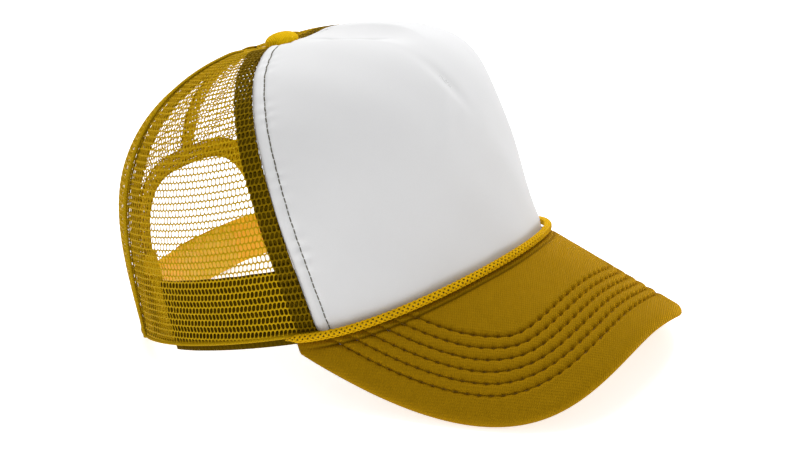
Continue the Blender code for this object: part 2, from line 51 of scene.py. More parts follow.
SIDE_MERIDIAN = ((HALF_WIDTH, 0.0), (0.0866, 0.0538), (0.0993, CROWN_HEIGHT), (0.0, CROWN_HEIGHT))
BACK_MERIDIAN = ((BACK_REACH, 0.0), (0.0708, 0.0659), (0.0675, 0.1031), (BUTTON_Y, CROWN_HEIGHT))
PANEL_TOP = 0.982

# ---- Dart in the top of the front panel: a valley that opens towards the button ----
DART_DEPTH = 0.0046
DART_START = 0.62
DART_FULL = 0.84
DART_CLOSE_START = 0.86
DART_CLOSE_END = 0.985
DART_CLOSING = 0.85
DART_MIDDLE = 0.60
DART_HALF_WIDTH = 0.0044
DART_SPREAD = 0.053
DART_LEAST, DART_MOST = 0.0010, 0.0175
DART_LIP_ROUNDING = 0.12

# ---- Visor ----
VISOR_HALF_ANGLE = math.radians(64.0)
VISOR_LENGTH = 0.0646
VISOR_SLOPE = math.radians(31.8)
VISOR_BEND_RADIUS = 0.0761
VISOR_BEND_TIGHTENING = 0.19
VISOR_HALF_SPREAD = 0.0995
VISOR_OUTLINE_POWER = 2.27
VISOR_END = math.radians(1.0)
VISOR_ROOT_GAP = 0.0005
VISOR_THICKNESS = 0.0040

# ---- Layers, as depths below the outer surface ----
FACE = 0.0007
FOAM_DEPTH = 0.0010
FOAM = 0.0030
STRIP_DEPTH = 0.0016
STRIP_STEP = 0.0007
SWEATBAND_DEPTH = 0.0046
SWEATBAND = 0.0012
SWEATBAND_FOOT = -0.0030
SWEATBAND_HEIGHT = 0.0280
SWEATBAND_END = math.radians(103.0)
FACING_FOOT = 0.0008
FACING_HEIGHT = 0.0300
FACING_END_GAP = 0.0025
STRIP_WIDTH = 0.0085

# ---- Rear opening and strap ----
ARCH_HALF_WIDTH = 0.0390
ARCH_HEIGHT = 0.0600
ARCH_POWER = 3.4
BINDING_WIDTH = 0.0085
STRAP_DEPTH = 0.0028
STRAP = 0.0013
STRAP_LOW = 0.0012
STRAP_HIGH = 0.0235
HINGE_X = 0.0370
STUD_STRAP_TIP = 0.0205
HOLE_STRAP_TIP = -0.0225
STUD_STRAP_SINK = 0.0004
HOLE_STRAP_RISE = 0.0014
STUD_PITCH = 0.0070
STUD_COUNT = 6
STUD_FIRST_X = -0.0180
STUD_RADIUS = 0.0015
STUD_HEIGHT = 0.0024
HOLE_RADIUS = 0.0025
STRAP_CORNER = 0.0065

# ---- Trim ----
ROPE_RADIUS = 0.0019
ROPE_SEAT = 0.60
ROPE_HALF_ANGLE = math.radians(65.0)
BUTTON_RADIUS = 0.0075
BUTTON_DOME = 0.0040
BUTTON_LIFT = 0.0008
BUTTON_SKIRT = 0.0034
EDGE_SHARE = 0.22
PUFF, PUFF_SINK, LOWEST_PUFF = 0.0021, 0.0011, -0.0012
UNDER_PUFF = 0.0003
STITCH_SINK = 0.0009
EDGE_TO_ROWS = 0.0121
STITCH_ROWS = 6
ROW_PITCH = 0.00465
STITCH_PITCH = 0.0047
TOPSTITCH_INSET = 0.0055
TOPSTITCH_PITCH = 0.0026
VISOR_GRAIN = math.radians(65.0)

# ---- Knitted mesh: one hole to a cell, with every second row shifted by half a cell ----
CELL_WIDTH = 0.0019
CELL_HEIGHT = 0.0028
CELL_LEAN = 0.00022
HOLE_HALF_WIDTH = 0.00078
HOLE_HALF_HEIGHT = 0.00121
BAR_LIFT = 0.00021
THREAD_LIFT = 0.00015
DENSE_HOLE = 0.52
BAND_TOP = 0.955
MESH_DEPTH = 0.0005
MESH_FOOT = 0.0012

# ---- Colours, as linear RGB ----
MUSTARD = (0.560, 0.340, 0.005)
MESH_MUSTARD = (0.570, 0.350, 0.006)
VISOR_MUSTARD = (0.330, 0.178, 0.003)
MUSTARD_SHEEN = (1.000, 0.520, 0.004)
ROPE_SHADE_MUSTARD = (0.330, 0.175, 0.004)
STRAP_YELLOW = (0.960, 0.530, 0.004)
BUTTON_GOLD = (0.860, 0.530, 0.006)
ROPE_GOLD = (0.760, 0.440, 0.005)
WHITE = (0.740, 0.740, 0.745)

# ---- Camera ----
AZIMUTH, ELEVATION, ROLL = math.radians(-53.73), math.radians(20.71), math.radians(-3.71)
AIM = Vector((0.0030, 0.0, 0.0466))
DISTANCE = 0.6282
LENS_MM = 64.07
FLOOR_REACH = 3.0

# ---- Working values: the sides, the step that slopes are taken over, and welding cells to a metre ----
SIDES = ((1, "left"), (-1, "right"))
SLOPE_STEP = 0.002
WELD = 1e7

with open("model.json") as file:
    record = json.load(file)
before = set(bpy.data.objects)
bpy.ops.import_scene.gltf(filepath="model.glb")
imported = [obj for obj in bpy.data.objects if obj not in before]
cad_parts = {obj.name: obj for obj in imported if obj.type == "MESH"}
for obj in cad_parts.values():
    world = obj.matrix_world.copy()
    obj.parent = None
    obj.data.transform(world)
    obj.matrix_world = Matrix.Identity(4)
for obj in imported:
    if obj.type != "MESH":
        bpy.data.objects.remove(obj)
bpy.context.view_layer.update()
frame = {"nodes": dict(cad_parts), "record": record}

mount = next(m for m in frame["record"]["mounts"] if m["name"] == "head_opening")
cap_up = -Vector(mount["axis"]).normalized()
PLACE = (
    Matrix.Translation(mount["pos_m"])
    @ Matrix.Rotation(-math.atan2(cap_up.y, cap_up.z), 4, "X")
    @ Matrix.Translation((0.0, 0.020, 0.0))
)
TURN = np.array(PLACE.to_3x3())
SHIFT = np.array(PLACE.translation)


# ==== Small tools ====

def smooth(value, start, end):
    """0 before start, 1 after end, with a smooth step between them."""
    share = np.clip((value - start) / (end - start), 0.0, 1.0)
    return share * share * (3.0 - 2.0 * share)


def bump(value, centre, width):
    return np.exp(-(((value - centre) / width) ** 2))


def length(vectors):
    return np.linalg.norm(vectors, axis=-1, keepdims=True)


def unit(vectors):
    return vectors / np.maximum(length(vectors), 1e-12)


def points(*coordinates):
    return np.stack(np.broadcast_arrays(*coordinates), axis=-1).astype(float)


# ==== Surfaces of the cap ====

def bezier(corners, along):
    rest = 1.0 - along
    weights = (rest ** 3, 3 * rest * rest * along, 3 * rest * along * along, along ** 3)
    return [sum(w * corner[axis] for w, corner in zip(weights, corners)) for axis in (0, 1)]


def bend_radius(y):
    return VISOR_BEND_RADIUS + VISOR_BEND_TIGHTENING * (y + FRONT_REACH)


def visor_drop(x, y):
    radius = bend_radius(y)
    return radius - np.sqrt(np.maximum(radius * radius - x * x, 0.0))


def rim_plan(turn):
    facing = np.cos(turn)
    front = facing > 0.0
    square = np.where(front, 0.0, BACK_SQUARENESS)
    reach = np.where(front, FRONT_REACH, BACK_REACH)
    return HALF_WIDTH * np.sin(turn) * (1.0 + square * facing * facing), -reach * facing


CORNER_X, CORNER_Y = (float(value) for value in rim_plan(VISOR_HALF_ANGLE))
RIM_RISE = float(visor_drop(CORNER_X, CORNER_Y)) - (CORNER_Y + FRONT_REACH) * math.tan(VISOR_SLOPE)


def visor_height(x, y):
    return RIM_RISE - visor_drop(x, y) + (y + FRONT_REACH) * math.tan(VISOR_SLOPE)


def rim_height(turn):
    wrapped = np.arctan2(np.sin(turn), np.cos(turn))
    return np.where(np.abs(wrapped) >= VISOR_HALF_ANGLE, 0.0, visor_height(*rim_plan(turn)))


def button_dimple(facing, level):
    """How far the crown swells up round the button, which sits in a shallow dimple."""
    ring = smooth(level, 0.50, 0.88) - smooth(level, 0.90, 0.975)
    return CROWN_SWELL * ring * (1.0 - FRONT_SWELL_LOSS * np.maximum(facing, 0.0) ** 2)


def dart_half_width(level):
    return np.clip(DART_HALF_WIDTH + DART_SPREAD * (level - DART_MIDDLE), DART_LEAST, DART_MOST)


def dart_valley(x, facing, level):
    """How far the dart pulls the front panel down at x."""
    share = 1.0 - (x / dart_half_width(level)) ** 2
    section = 0.5 * (share + np.sqrt(share * share + DART_LIP_ROUNDING ** 2))
    opening = smooth(level, DART_START, DART_FULL) * smooth(facing, 0.0, 0.6)
    closing = 1.0 - DART_CLOSING * smooth(level, DART_CLOSE_START, DART_CLOSE_END)
    return DART_DEPTH * opening * closing * section


def crown_point(turn, level):
    facing = np.cos(turn)
    front = facing > 0.0
    front_reach, front_height = bezier(FRONT_MERIDIAN, level)
    back_reach, back_height = bezier(BACK_MERIDIAN, level)
    side_reach, side_height = bezier(SIDE_MERIDIAN, level)
    end_reach = np.where(front, front_reach, back_reach)
    end_height = np.where(front, front_height, back_height)
    middle_y = BUTTON_Y * level * level * (3.0 - 2.0 * level)
    square = np.where(front, 0.0, BACK_SQUARENESS * (1.0 - level * level))
    weight = facing * facing
    x = side_reach * np.sin(turn) * (1.0 + square * weight)
    y = middle_y - (end_reach + np.where(front, middle_y, -middle_y)) * facing
    z = end_height * weight + side_height * (1.0 - weight)
    z = z + button_dimple(facing, level) - dart_valley(x, facing, level)
    return points(x, y, z + rim_height(turn) * (1.0 - level) ** 1.5)


def crown_normal(turn, level):
    low, high = np.maximum(level - SLOPE_STEP, 0.0), np.minimum(level + SLOPE_STEP, 0.995)
    round_step = crown_point(turn + SLOPE_STEP, level) - crown_point(turn - SLOPE_STEP, level)
    return unit(np.cross(round_step, crown_point(turn, high) - crown_point(turn, low)))


def crown(turn, level, depth=0.0):
    turn, level, depth = np.broadcast_arrays(turn, level, depth)
    return crown_point(turn, level) - crown_normal(turn, level) * depth[..., None]


def walk(turn, level, distance):
    """The turn reached after walking a distance round the crown, at one level."""
    steps = 6
    turn = turn + 0.0 * distance
    for _ in range(steps):
        middle = turn
        for _ in range(2):
            step = crown_point(middle + SLOPE_STEP, level) - crown_point(middle - SLOPE_STEP, level)
            move = distance / steps / length(step)[..., 0] * 2 * SLOPE_STEP
            middle = turn + move / 2
        turn = turn + move
    return turn


def solve(function, low, high, target):
    """The value between low and high where a rising function reaches the target."""
    low, high = low + 0.0 * target, high + 0.0 * target
    for _ in range(26):
        middle = 0.5 * (low + high)
        below = function(middle) < target
        low, high = np.where(below, middle, low), np.where(below, high, middle)
    return low


def level_at(turn, height):
    """The level where the crown stands a height over its rim."""
    turn, height = np.broadcast_arrays(turn, np.asarray(height, float))
    foot = crown_point(turn, 0.0 * height)[..., 2]
    return solve(lambda level: crown_point(turn, level)[..., 2] - foot, 0.0, 0.75, height)


def turn_at(x, level):
    """The turn, from side to side round the back, where the crown is x from the middle."""
    return solve(lambda turn: -crown_point(turn, level)[..., 0], 0.5 * math.pi, 1.5 * math.pi, -x)


def back_wall(x, height, depth):
    """A point of the rear wall, from its x, its height over the rim and its depth."""
    x, height = np.broadcast_arrays(np.asarray(x, float), height)
    level = level_at(math.pi, height)
    return crown(turn_at(x, level), level, depth)


def front_seam(level):
    return np.radians(58.1 + 2.6 * level + 7.9 * level * level)


def side_seam(level):
    return np.radians(119.7 - 26.6 * level + 29.5 * level * level)


def back_seam(level):
    return math.pi + 0.0 * level


def visor_point(angle, outward):
    """A point of the visor's top; outward is 0 at the crown and 1 at the free edge."""
    root_x, root_y = rim_plan(VISOR_HALF_ANGLE * (2.0 * angle / math.pi - 1.0))
    root_radius = bend_radius(root_y)
    root_side = root_radius * np.arcsin(root_x / root_radius)
    reach = FRONT_REACH + VISOR_LENGTH * math.cos(VISOR_SLOPE) + CORNER_Y
    power = 2.0 / VISOR_OUTLINE_POWER
    across = -np.cos(angle)
    edge_side = np.sign(across) * np.abs(across) ** power * VISOR_HALF_SPREAD
    edge_y = CORNER_Y - reach * np.sin(angle) ** power
    side = root_side + (edge_side - root_side) * outward
    y = root_y + (edge_y - root_y) * outward
    radius = bend_radius(y)
    x = radius * np.sin(side / radius)
    return points(x, y, visor_height(x, y))


def visor_normal(angle, outward):
    step = 0.01
    across = visor_point(angle + step, outward) - visor_point(angle - step, outward)
    along = visor_point(angle, outward + step) - visor_point(angle, outward - step)
    return unit(np.cross(along, across))


# ==== Meshes ====

def to_world(spots):
    return spots @ TURN.T + SHIFT


def grid_quads(rows, columns, wrap=False):
    """Faces of a grid of points, rows by columns; wrap joins the last column to the first."""
    index = np.arange(rows * columns).reshape(rows, columns)
    right = np.roll(index, -1, axis=1) if wrap else index[:, 1:]
    left = index if wrap else index[:, :-1]
    return np.stack([left[:-1], right[:-1], right[1:], left[1:]], axis=-1).reshape(-1, 4)


def into_scene(name, data):
    obj = bpy.data.objects.new(name, data)
    bpy.context.scene.collection.objects.link(obj)
    return obj


def add_piece(name, spots, quads, material, slot, replaces=(), body="cap", cloth=None, shade_marks=None):
    """A mesh piece from points in the level cap. cloth is each point's place on the flat cloth."""
    mesh = bpy.data.meshes.new(name)
    mesh.from_pydata(to_world(spots.reshape(-1, 3)).tolist(), [], quads.tolist())
    mesh.shade_smooth()
    if cloth is not None:
        corners = np.empty(len(mesh.loops), dtype=np.int32)
        mesh.loops.foreach_get("vertex_index", corners)
        flat = cloth.reshape(-1, 2)[corners].ravel().astype(np.float32)
        mesh.uv_layers.new(name="cloth").data.foreach_set("uv", flat)
    # The marks are painted shade, kept on the points for the material to darken by.
    if shade_marks is not None:
        mark = mesh.attributes.new("painted_shade", "FLOAT", "POINT")
        mark.data.foreach_set("value", shade_marks.ravel().astype(np.float32))
    mesh.materials.append(material)
    obj = into_scene(name, mesh)
    if body is not None:
        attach(obj, body)
    if replaces:
        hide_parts(*replaces)
    return obj


def add_sheet(name, outer, inner, cloth, *finish):
    """A closed piece between two grids of points, which share the grid of their cloth places."""
    return add_piece(name, *sheet_solid(outer, inner), *finish, cloth=np.stack([cloth, cloth]))


def sheet_solid(outer, inner):
    """Points and faces of a closed solid between two grids of the same size."""
    rows, columns = outer.shape[:2]
    count = rows * columns
    index = np.arange(count).reshape(rows, columns)
    rim = np.concatenate([index[0, :-1], index[:-1, -1], index[-1, :0:-1], index[:0:-1, 0]])
    following = np.roll(rim, -1)
    front = grid_quads(rows, columns)
    back = front[:, ::-1] + count
    wall = np.stack([following, rim, rim + count, following + count], axis=-1)
    spots = np.concatenate([outer.reshape(-1, 3), inner.reshape(-1, 3)])
    return spots, np.concatenate([front, back, wall])


def sweep(path, normals, profile, widths=1.0):
    """A tube along path. profile is the section's (sideways, outward) offsets; widths scale it."""
    forward = unit(np.gradient(path, axis=0))
    side = unit(np.cross(forward, normals))
    out = np.cross(side, forward)
    offsets = profile[None] * np.broadcast_to(widths, len(path))[:, None, None]
    spots = path[:, None] + side[:, None] * offsets[..., :1] + out[:, None] * offsets[..., 1:]
    return spots, grid_quads(len(path), len(profile), wrap=True)


def oval(half_width, half_height, sides):
    turn = np.arange(sides) * 2.0 * math.pi / sides
    return points(half_width * np.cos(turn), half_height * np.sin(turn))


def along_of(path):
    """The distance walked along a line of points."""
    return np.concatenate([[0.0], np.cumsum(length(np.diff(path, axis=0))[:, 0])])


def at_distance(spots, walked, rows):
    """The rows of a table at some distances along it."""
    return points(*(np.interp(spots, walked, column) for column in rows.T))


def distance_to(targets, grid):
    """The distance from each point of a grid to the nearest target."""
    tree = KDTree(len(targets))
    for index, spot in enumerate(targets):
        tree.insert(spot, index)
    tree.balance()
    return np.array([tree.find(spot)[2] for spot in grid.reshape(-1, 3)]).reshape(grid.shape[:2])


def merged(parts):
    """Several (points, faces) joined into one."""
    spots, quads, start = [], [], 0
    for part_spots, part_quads in parts:
        spots.append(part_spots.reshape(-1, 3))
        quads.append(part_quads + start)
        start += len(spots[-1])
    return np.concatenate(spots), np.concatenate(quads)


def weld(spots, quads):
    """The points that faces use, with those that lie on each other joined."""
    keys = np.round(spots[quads.ravel()] * WELD).astype(np.int64)
    kept, inverse = np.unique(keys, axis=0, return_inverse=True)
    return kept / WELD, inverse.reshape(-1, 4)


# ==== Materials ====

class Nodes:
    """A material's node tree, with short ways to add and link its nodes."""

    def __init__(self, name, colour, roughness):
        self.material = bpy.data.materials.new(name)
        self.material.use_nodes = True
        self.tree = self.material.node_tree
        self.shader = self.tree.nodes["Principled BSDF"]
        self.paint(colour, roughness)

    def put(self, node, values):
        """Sets a node's inputs, each to a value or to another node's output."""
        for key, value in values.items():
            socket = node.inputs[key]
            if isinstance(value, bpy.types.NodeSocket):
                self.tree.links.new(value, socket)
            else:
                socket.default_value = (*value, 1.0) if socket.type == "RGBA" else value

    def add(self, kind, values, **settings):
        node = self.tree.nodes.new("ShaderNode" + kind)
        for key, value in settings.items():
            setattr(node, key, value)
        self.put(node, values)
        return node

    def times(self, value, factor):
        return self.add("Math", {0: value, 1: factor}, operation="MULTIPLY").outputs[0]

    def mix_in(self, value, factor, other):
        """value times factor, plus other."""
        return self.add("Math", {0: value, 1: factor, 2: other}, operation="MULTIPLY_ADD").outputs[0]

    def wave(self, place, pitch):
        """From 0 to 1 and back, once in each pitch."""
        sine = self.add("Math", {0: self.times(place, 2.0 * math.pi / pitch)}, operation="SINE")
        return self.mix_in(sine.outputs[0], 0.5, 0.5)

    def cloth(self, turn=0.0):
        """The two coordinates of the flat cloth, in metres, turned by an angle."""
        uv = self.add("UVMap", {}, uv_map="cloth").outputs["UV"]
        turned = self.add("Mapping", {"Vector": uv, "Rotation": (0.0, 0.0, turn)}).outputs["Vector"]
        split = self.add("SeparateXYZ", {0: turned})
        return split.outputs["X"], split.outputs["Y"]

    def place(self):
        return self.add("TexCoord", {}).outputs["Object"]

    def noise(self, scale, detail, stretch=None):
        vector = self.place()
        if stretch is not None:
            vector = self.add("Mapping", {"Vector": vector, "Scale": stretch}).outputs["Vector"]
        return self.add("TexNoise", {"Vector": vector, "Scale": scale, "Detail": detail}).outputs["Fac"]

    def blend(self, share, first, second):
        return self.add("Mix", {0: share, 6: first, 7: second}, data_type="RGBA").outputs[2]

    def shades(self, share, colour, dark, bright):
        """A colour that goes from its dark to its bright shade."""
        return self.blend(share, scaled(colour, dark), scaled(colour, bright))

    def with_painted_shade(self, cloth, dark):
        """The cloth's colour, darkened where painted shade is marked on the mesh."""
        painted_shade = self.add("Attribute", {}, attribute_name="painted_shade").outputs["Fac"]
        return self.blend(painted_shade, cloth, dark)

    def paint(self, colour, roughness=None):
        self.put(self.shader, {"Base Color": colour})
        if roughness is not None:
            self.put(self.shader, {"Roughness": roughness})

    def relief(self, height, distance, strength):
        bumps = self.add("Bump", {"Height": height, "Distance": distance, "Strength": strength})
        self.put(self.shader, {"Normal": bumps.outputs[0]})

    def sheen(self, weight, roughness, tint=MUSTARD_SHEEN):
        self.put(self.shader, {"Specular IOR Level": 0.05, "Specular Tint": tint, "Sheen Tint": tint,
                               "Sheen Weight": weight, "Sheen Roughness": roughness})


def scaled(colour, factor):
    return tuple(min(channel * factor, 1.0) for channel in colour)


def knit_fabric(name, colour, rib_pitch, turn, sheen=0.35):
    """Fine ribbed knit: ribs with small loops, soft mottling, and painted shade where the mesh is
    marked, such as in the stitch holes.
    """
    m = Nodes(name, colour, 0.85)
    across, along = m.cloth(turn)
    rib = m.wave(across, rib_pitch)
    loop = m.wave(m.mix_in(rib, rib_pitch * 0.25, along), rib_pitch * 1.25)
    mottle, fuzz = m.noise(260.0, 4.0), m.noise(2600.0, 2.0)
    height = m.mix_in(fuzz, 0.5, m.mix_in(loop, 0.35, rib))
    cloth = m.shades(m.mix_in(height, 0.35, m.times(mottle, 0.5)), colour, 0.72, 1.12)
    m.paint(m.with_painted_shade(cloth, scaled(colour, 0.28)), m.mix_in(fuzz, 0.2, 0.72))
    m.relief(height, 0.00024, 0.9)
    m.sheen(sheen, 0.35)
    return m.material


def yarn_fabric(name, colour):
    """Polyester yarn of the knitted mesh: fine filaments, lighter on the crests of the ply, and painted
    shade where the mesh is marked.
    """
    m = Nodes(name, colour, 0.62)
    across, along = m.cloth()
    ply = m.wave(m.mix_in(across, 1.0, along), 0.00055)
    fine, large = m.noise(2400.0, 3.0), m.noise(90.0, 2.0)
    share = m.mix_in(ply, 0.45, m.mix_in(fine, 0.35, m.times(large, 0.3)))
    yarn = m.shades(share, colour, 0.66, 1.15)
    m.paint(m.with_painted_shade(yarn, scaled(colour, 0.30)), m.mix_in(fine, 0.3, 0.45))
    m.relief(m.mix_in(ply, 1.0, fine), 0.00008, 0.7)
    m.sheen(0.25, 0.4)
    return m.material


def white_polyester(name):
    """Smooth brushed face: almost flat, with faint cross lines and soft clouding."""
    m = Nodes(name, WHITE, 0.75)
    across, along = m.cloth()
    cross, down = m.wave(along, 0.0006), m.wave(across, 0.0008)
    cloud, fuzz = m.noise(45.0, 4.0), m.noise(1800.0, 3.0)
    share = m.mix_in(cloud, 0.6, m.times(fuzz, 0.4))
    m.paint(m.shades(share, WHITE, 0.95, 1.03), m.mix_in(fuzz, 0.1, 0.88))
    m.relief(m.mix_in(cross, 0.3, m.mix_in(down, 0.2, fuzz)), 0.00005, 0.45)
    m.sheen(0.02, 0.5, (1.0, 1.0, 1.0))
    return m.material


def foam_lining(name):
    """The foam's bonded inner face: a fine tricot net over pores."""
    m = Nodes(name, WHITE, 0.9)
    across, along = m.cloth()
    net = m.times(m.wave(across, 0.0012), m.wave(along, 0.0010))
    pores = m.add("TexVoronoi", {"Vector": m.place(), "Scale": 1300.0}).outputs["Distance"]
    height = m.mix_in(net, 0.8, pores)
    m.paint(m.shades(height, WHITE, 0.78, 1.02))
    m.relief(height, 0.00018, 0.7)
    return m.material


def ribbed_cloth(name, colour):
    """The sweatband: upright ribs, a cross weave and darker, rubbed patches."""
    m = Nodes(name, colour, 0.92)
    across, along = m.cloth()
    weave = m.times(m.wave(across, 0.0007), m.wave(along, 0.0007))
    height = m.mix_in(weave, 0.5, m.wave(across, 0.0021))
    share = m.mix_in(height, 0.4, m.times(m.noise(60.0, 4.0), 0.45))
    m.paint(m.shades(share, colour, 0.6, 1.2))
    m.relief(height, 0.00022, 0.8)
    m.sheen(0.1, 0.5)
    return m.material


def moulded_plastic(name, colour):
    """Soft moulded plastic: slightly wavy, with fine wear and a faint cloudiness."""
    m = Nodes(name, colour, 0.34)
    cloud, scratch = m.noise(120.0, 3.0), m.noise(900.0, 2.0, stretch=(0.15, 1.0, 1.0))
    m.paint(m.shades(cloud, colour, 0.88, 1.06), m.mix_in(scratch, 0.22, 0.24))
    m.relief(m.mix_in(cloud, 0.6, scratch), 0.00006, 0.35)
    m.put(m.shader, {"Subsurface Weight": 0.5, "Subsurface Scale": 1.0,
                     "Subsurface Radius": (0.003, 0.0015, 0.0003)})
    return m.material


def pressed_metal(name):
    """Bare pressed steel, with drawn grain and faint stains."""
    m = Nodes(name, (0.60, 0.60, 0.61), 0.32)
    m.put(m.shader, {"Metallic": 1.0})
    grain = m.noise(1500.0, 2.0, stretch=(1.0, 1.0, 6.0))
    steel = m.blend(m.noise(240.0, 4.0), (0.50, 0.50, 0.51), (0.68, 0.68, 0.70))
    m.paint(steel, m.mix_in(grain, 0.25, 0.22))
    m.relief(grain, 0.00003, 0.4)
    return m.material


def thread(name, colour):
    """Twisted sewing thread."""
    m = Nodes(name, colour, 0.6)
    twist = m.noise(3200.0, 2.0)
    m.paint(m.shades(twist, colour, 0.6, 1.3))
    m.relief(twist, 0.00005, 0.8)
    return m.material


white_face = white_polyester("white_polyester")
white_lining = foam_lining("white_foam_lining")
mesh_yarn = yarn_fabric("mustard_mesh_yarn", MESH_MUSTARD)
strip_yarn = yarn_fabric("mustard_strip_yarn", MUSTARD)
# The front seam bands are mustard yarn darkened as painted shade beside the white front panel.
painted_shade_strip_yarn = yarn_fabric("brown_strip_yarn", scaled(MUSTARD, 0.22))
facing_cloth = knit_fabric("mustard_facing_knit", scaled(MUSTARD, 1.1), 0.0009, 0.5 * math.pi)
fold_cloth = knit_fabric("mustard_folded_mesh", scaled(MUSTARD, 0.85), 0.0009, 0.7)
visor_cloth = knit_fabric("mustard_visor_knit", VISOR_MUSTARD, 0.00085, VISOR_GRAIN, sheen=1.0)
button_cloth = knit_fabric("mustard_button_knit", BUTTON_GOLD, 0.0007, 0.5)
rope_yarn = yarn_fabric("mustard_rope_yarn", ROPE_GOLD)
# The rope's core is painted near-black, as shade seen through the gaps of the braid.
rope_core_painted_shade = thread("rope_core_painted_shade", scaled(ROPE_SHADE_MUSTARD, 0.15))
# The sweatband is mustard cloth darkened as painted shade inside the cap.
sweat_cloth = ribbed_cloth("mustard_sweatband_painted_shade", scaled(MUSTARD, 0.17))
visor_thread = thread("mustard_thread", VISOR_MUSTARD)
dark_thread = thread("olive_thread", (0.085, 0.075, 0.045))
snap_plastic = moulded_plastic("yellow_snap_plastic", STRAP_YELLOW)
board_plastic = moulded_plastic("visor_board_plastic", (0.70, 0.70, 0.70))
button_metal = pressed_metal("button_metal")


# ==== Front panel ====

def dart(x, level):
    """The dart's own seam, a fine groove at the bottom of its valley."""
    along = smooth(level, 0.72, 0.82) * (1.0 - smooth(level, 0.90, 0.98))
    return -0.0006 * bump(x, 0.0, 0.0012) * along


def front_relief(turn, level, edge, fine):
    """How far the front panel stands proud of the crown; fine adds the stitching and soft folds."""
    x, _, z = np.moveaxis(crown_point(turn, level), -1, 0)
    swell = 0.0016 * bump(x, 0.037, 0.013) * bump(level, 0.57, 0.14)
    rise = dart(x, level) + swell
    if not fine:
        return rise
    rise = rise - 0.0015 * (1.0 - smooth(edge, -0.0004, 0.0026))
    rise = rise - 0.0007 * bump(edge, TOPSTITCH_INSET, 0.0007)
    pucker = np.sin(level * 130.0 + 2.0 * np.sin(level * 31.0))
    rise = rise + 0.00022 * pucker * bump(edge, TOPSTITCH_INSET, 0.004)
    crease = 0.0011 * bump(x + 0.35 * (z - 0.088), -0.006, 0.0035) * bump(z, 0.083, 0.011)
    folds = 0.0007 * bump(x - 0.55 * (z - 0.070), -0.014, 0.004) * bump(z, 0.066, 0.012)
    cloud = 0.00035 * np.sin(x * 160.0 + 1.3) * np.sin(z * 120.0 + x * 60.0)
    tuck = -0.0010 * (1.0 - smooth(level, 0.0, 0.035))
    return rise - crease + folds + cloud + tuck


def front_patch(columns, rows, fine):
    """Turn, level, distance to the nearer edge, relief and cloth place of a grid over the front."""
    level = np.linspace(0.0, PANEL_TOP, rows)[:, None]
    turn = front_seam(level) * np.linspace(-1.0, 1.0, columns)
    level = level + 0.0 * turn
    base = crown_point(turn, level)
    walked = np.stack([along_of(row) for row in base])
    across = walked - walked[:, -1:] / 2
    edge = np.minimum(walked, walked[:, -1:] - walked)
    cloth = points(across, along_of(base[:, columns // 2])[:, None])
    return turn, level, edge, front_relief(turn, level, edge, fine), cloth


def build_front():
    turn, level, edge, rise, cloth = front_patch(241, 221, fine=True)
    add_sheet("front_panel_face", crown(turn, level, -rise), crown(turn, level, FACE - rise), cloth,
              white_face, "white_fabric", ["front_panel_fabric"])
    turn, level, edge, rise, cloth = front_patch(121, 101, fine=False)
    thinning = 0.0012 * (1.0 - smooth(edge, 0.0, 0.004))
    quilt = 0.0003 * np.sin(cloth[..., 0] * 420.0) * np.sin(cloth[..., 1] * 420.0)
    lining = add_sheet("front_foam_lining", crown(turn, level, FOAM_DEPTH - rise + thinning),
                       crown(turn, level, FOAM_DEPTH + FOAM - rise + quilt), cloth,
                       white_lining, "white_foam", ["front_panel_foam"])


def seam_line(seam, side, distance, start, end, count):
    """Turns and levels of a line at a distance from a seam, on the side that is turned away."""
    level = np.linspace(start, end, count)
    return walk(side * seam(level), level, np.full(count, side * distance)), level


def build_topstitch():
    """The dark topstitching inside each edge of the front panel."""
    parts = []
    for side, _ in SIDES:
        turn, level = seam_line(front_seam, side, -TOPSTITCH_INSET, 0.012, 0.955, 900)
        rise = front_relief(turn, level, np.full_like(turn, TOPSTITCH_INSET), fine=True)
        base = crown(turn, level, -rise)
        phase = (along_of(base) / TOPSTITCH_PITCH) % 1.0
        lift = 0.00022 - 0.0007 * bump(np.minimum(phase, 1.0 - phase), 0.0, 0.09)
        normal = crown_normal(turn, level)
        parts.append(sweep(base + normal * lift[:, None], normal, oval(0.00026, 0.00020, 6)))
    add_piece("front_topstitch", *merged(parts), dark_thread, "white_fabric")


# ==== Knitted mesh ====

def cell_rings(opening):
    """One cell's rings of points, from its front crest through the hole's wall to its back crest."""
    across = [-0.5, -0.25, 0.0, 0.25, 0.5]
    border = [(x, -0.5) for x in across] + [(0.5, -0.17), (0.5, 0.17)]
    border = np.array(border + [(x, 0.5) for x in across[::-1]] + [(-0.5, 0.17), (-0.5, -0.17)])
    direction = border * [CELL_WIDTH, CELL_HEIGHT]
    angle = np.arctan2(direction[:, 1] / HOLE_HALF_HEIGHT, direction[:, 0] / HOLE_HALF_WIDTH)
    circle = points(np.cos(angle), np.sin(angle))
    hole = np.sign(circle) * np.abs(circle) ** 0.82 * [HOLE_HALF_WIDTH, HOLE_HALF_HEIGHT] * opening
    crest = np.where(np.abs(border[:, 1]) > 0.49, BAR_LIFT, THREAD_LIFT)
    rings = []
    for share, lift in ((0.0, 1.0), (0.62, 0.78), (1.0, 0.0), (0.62, -0.78), (0.0, -1.0)):
        flat = direction * (1.0 - share) + hole * share
        rings.append(np.concatenate([flat, (crest * lift)[:, None]], axis=1))
    return np.stack(rings)


CELL = cell_rings(1.0)
DENSE_CELL = cell_rings(DENSE_HOLE)


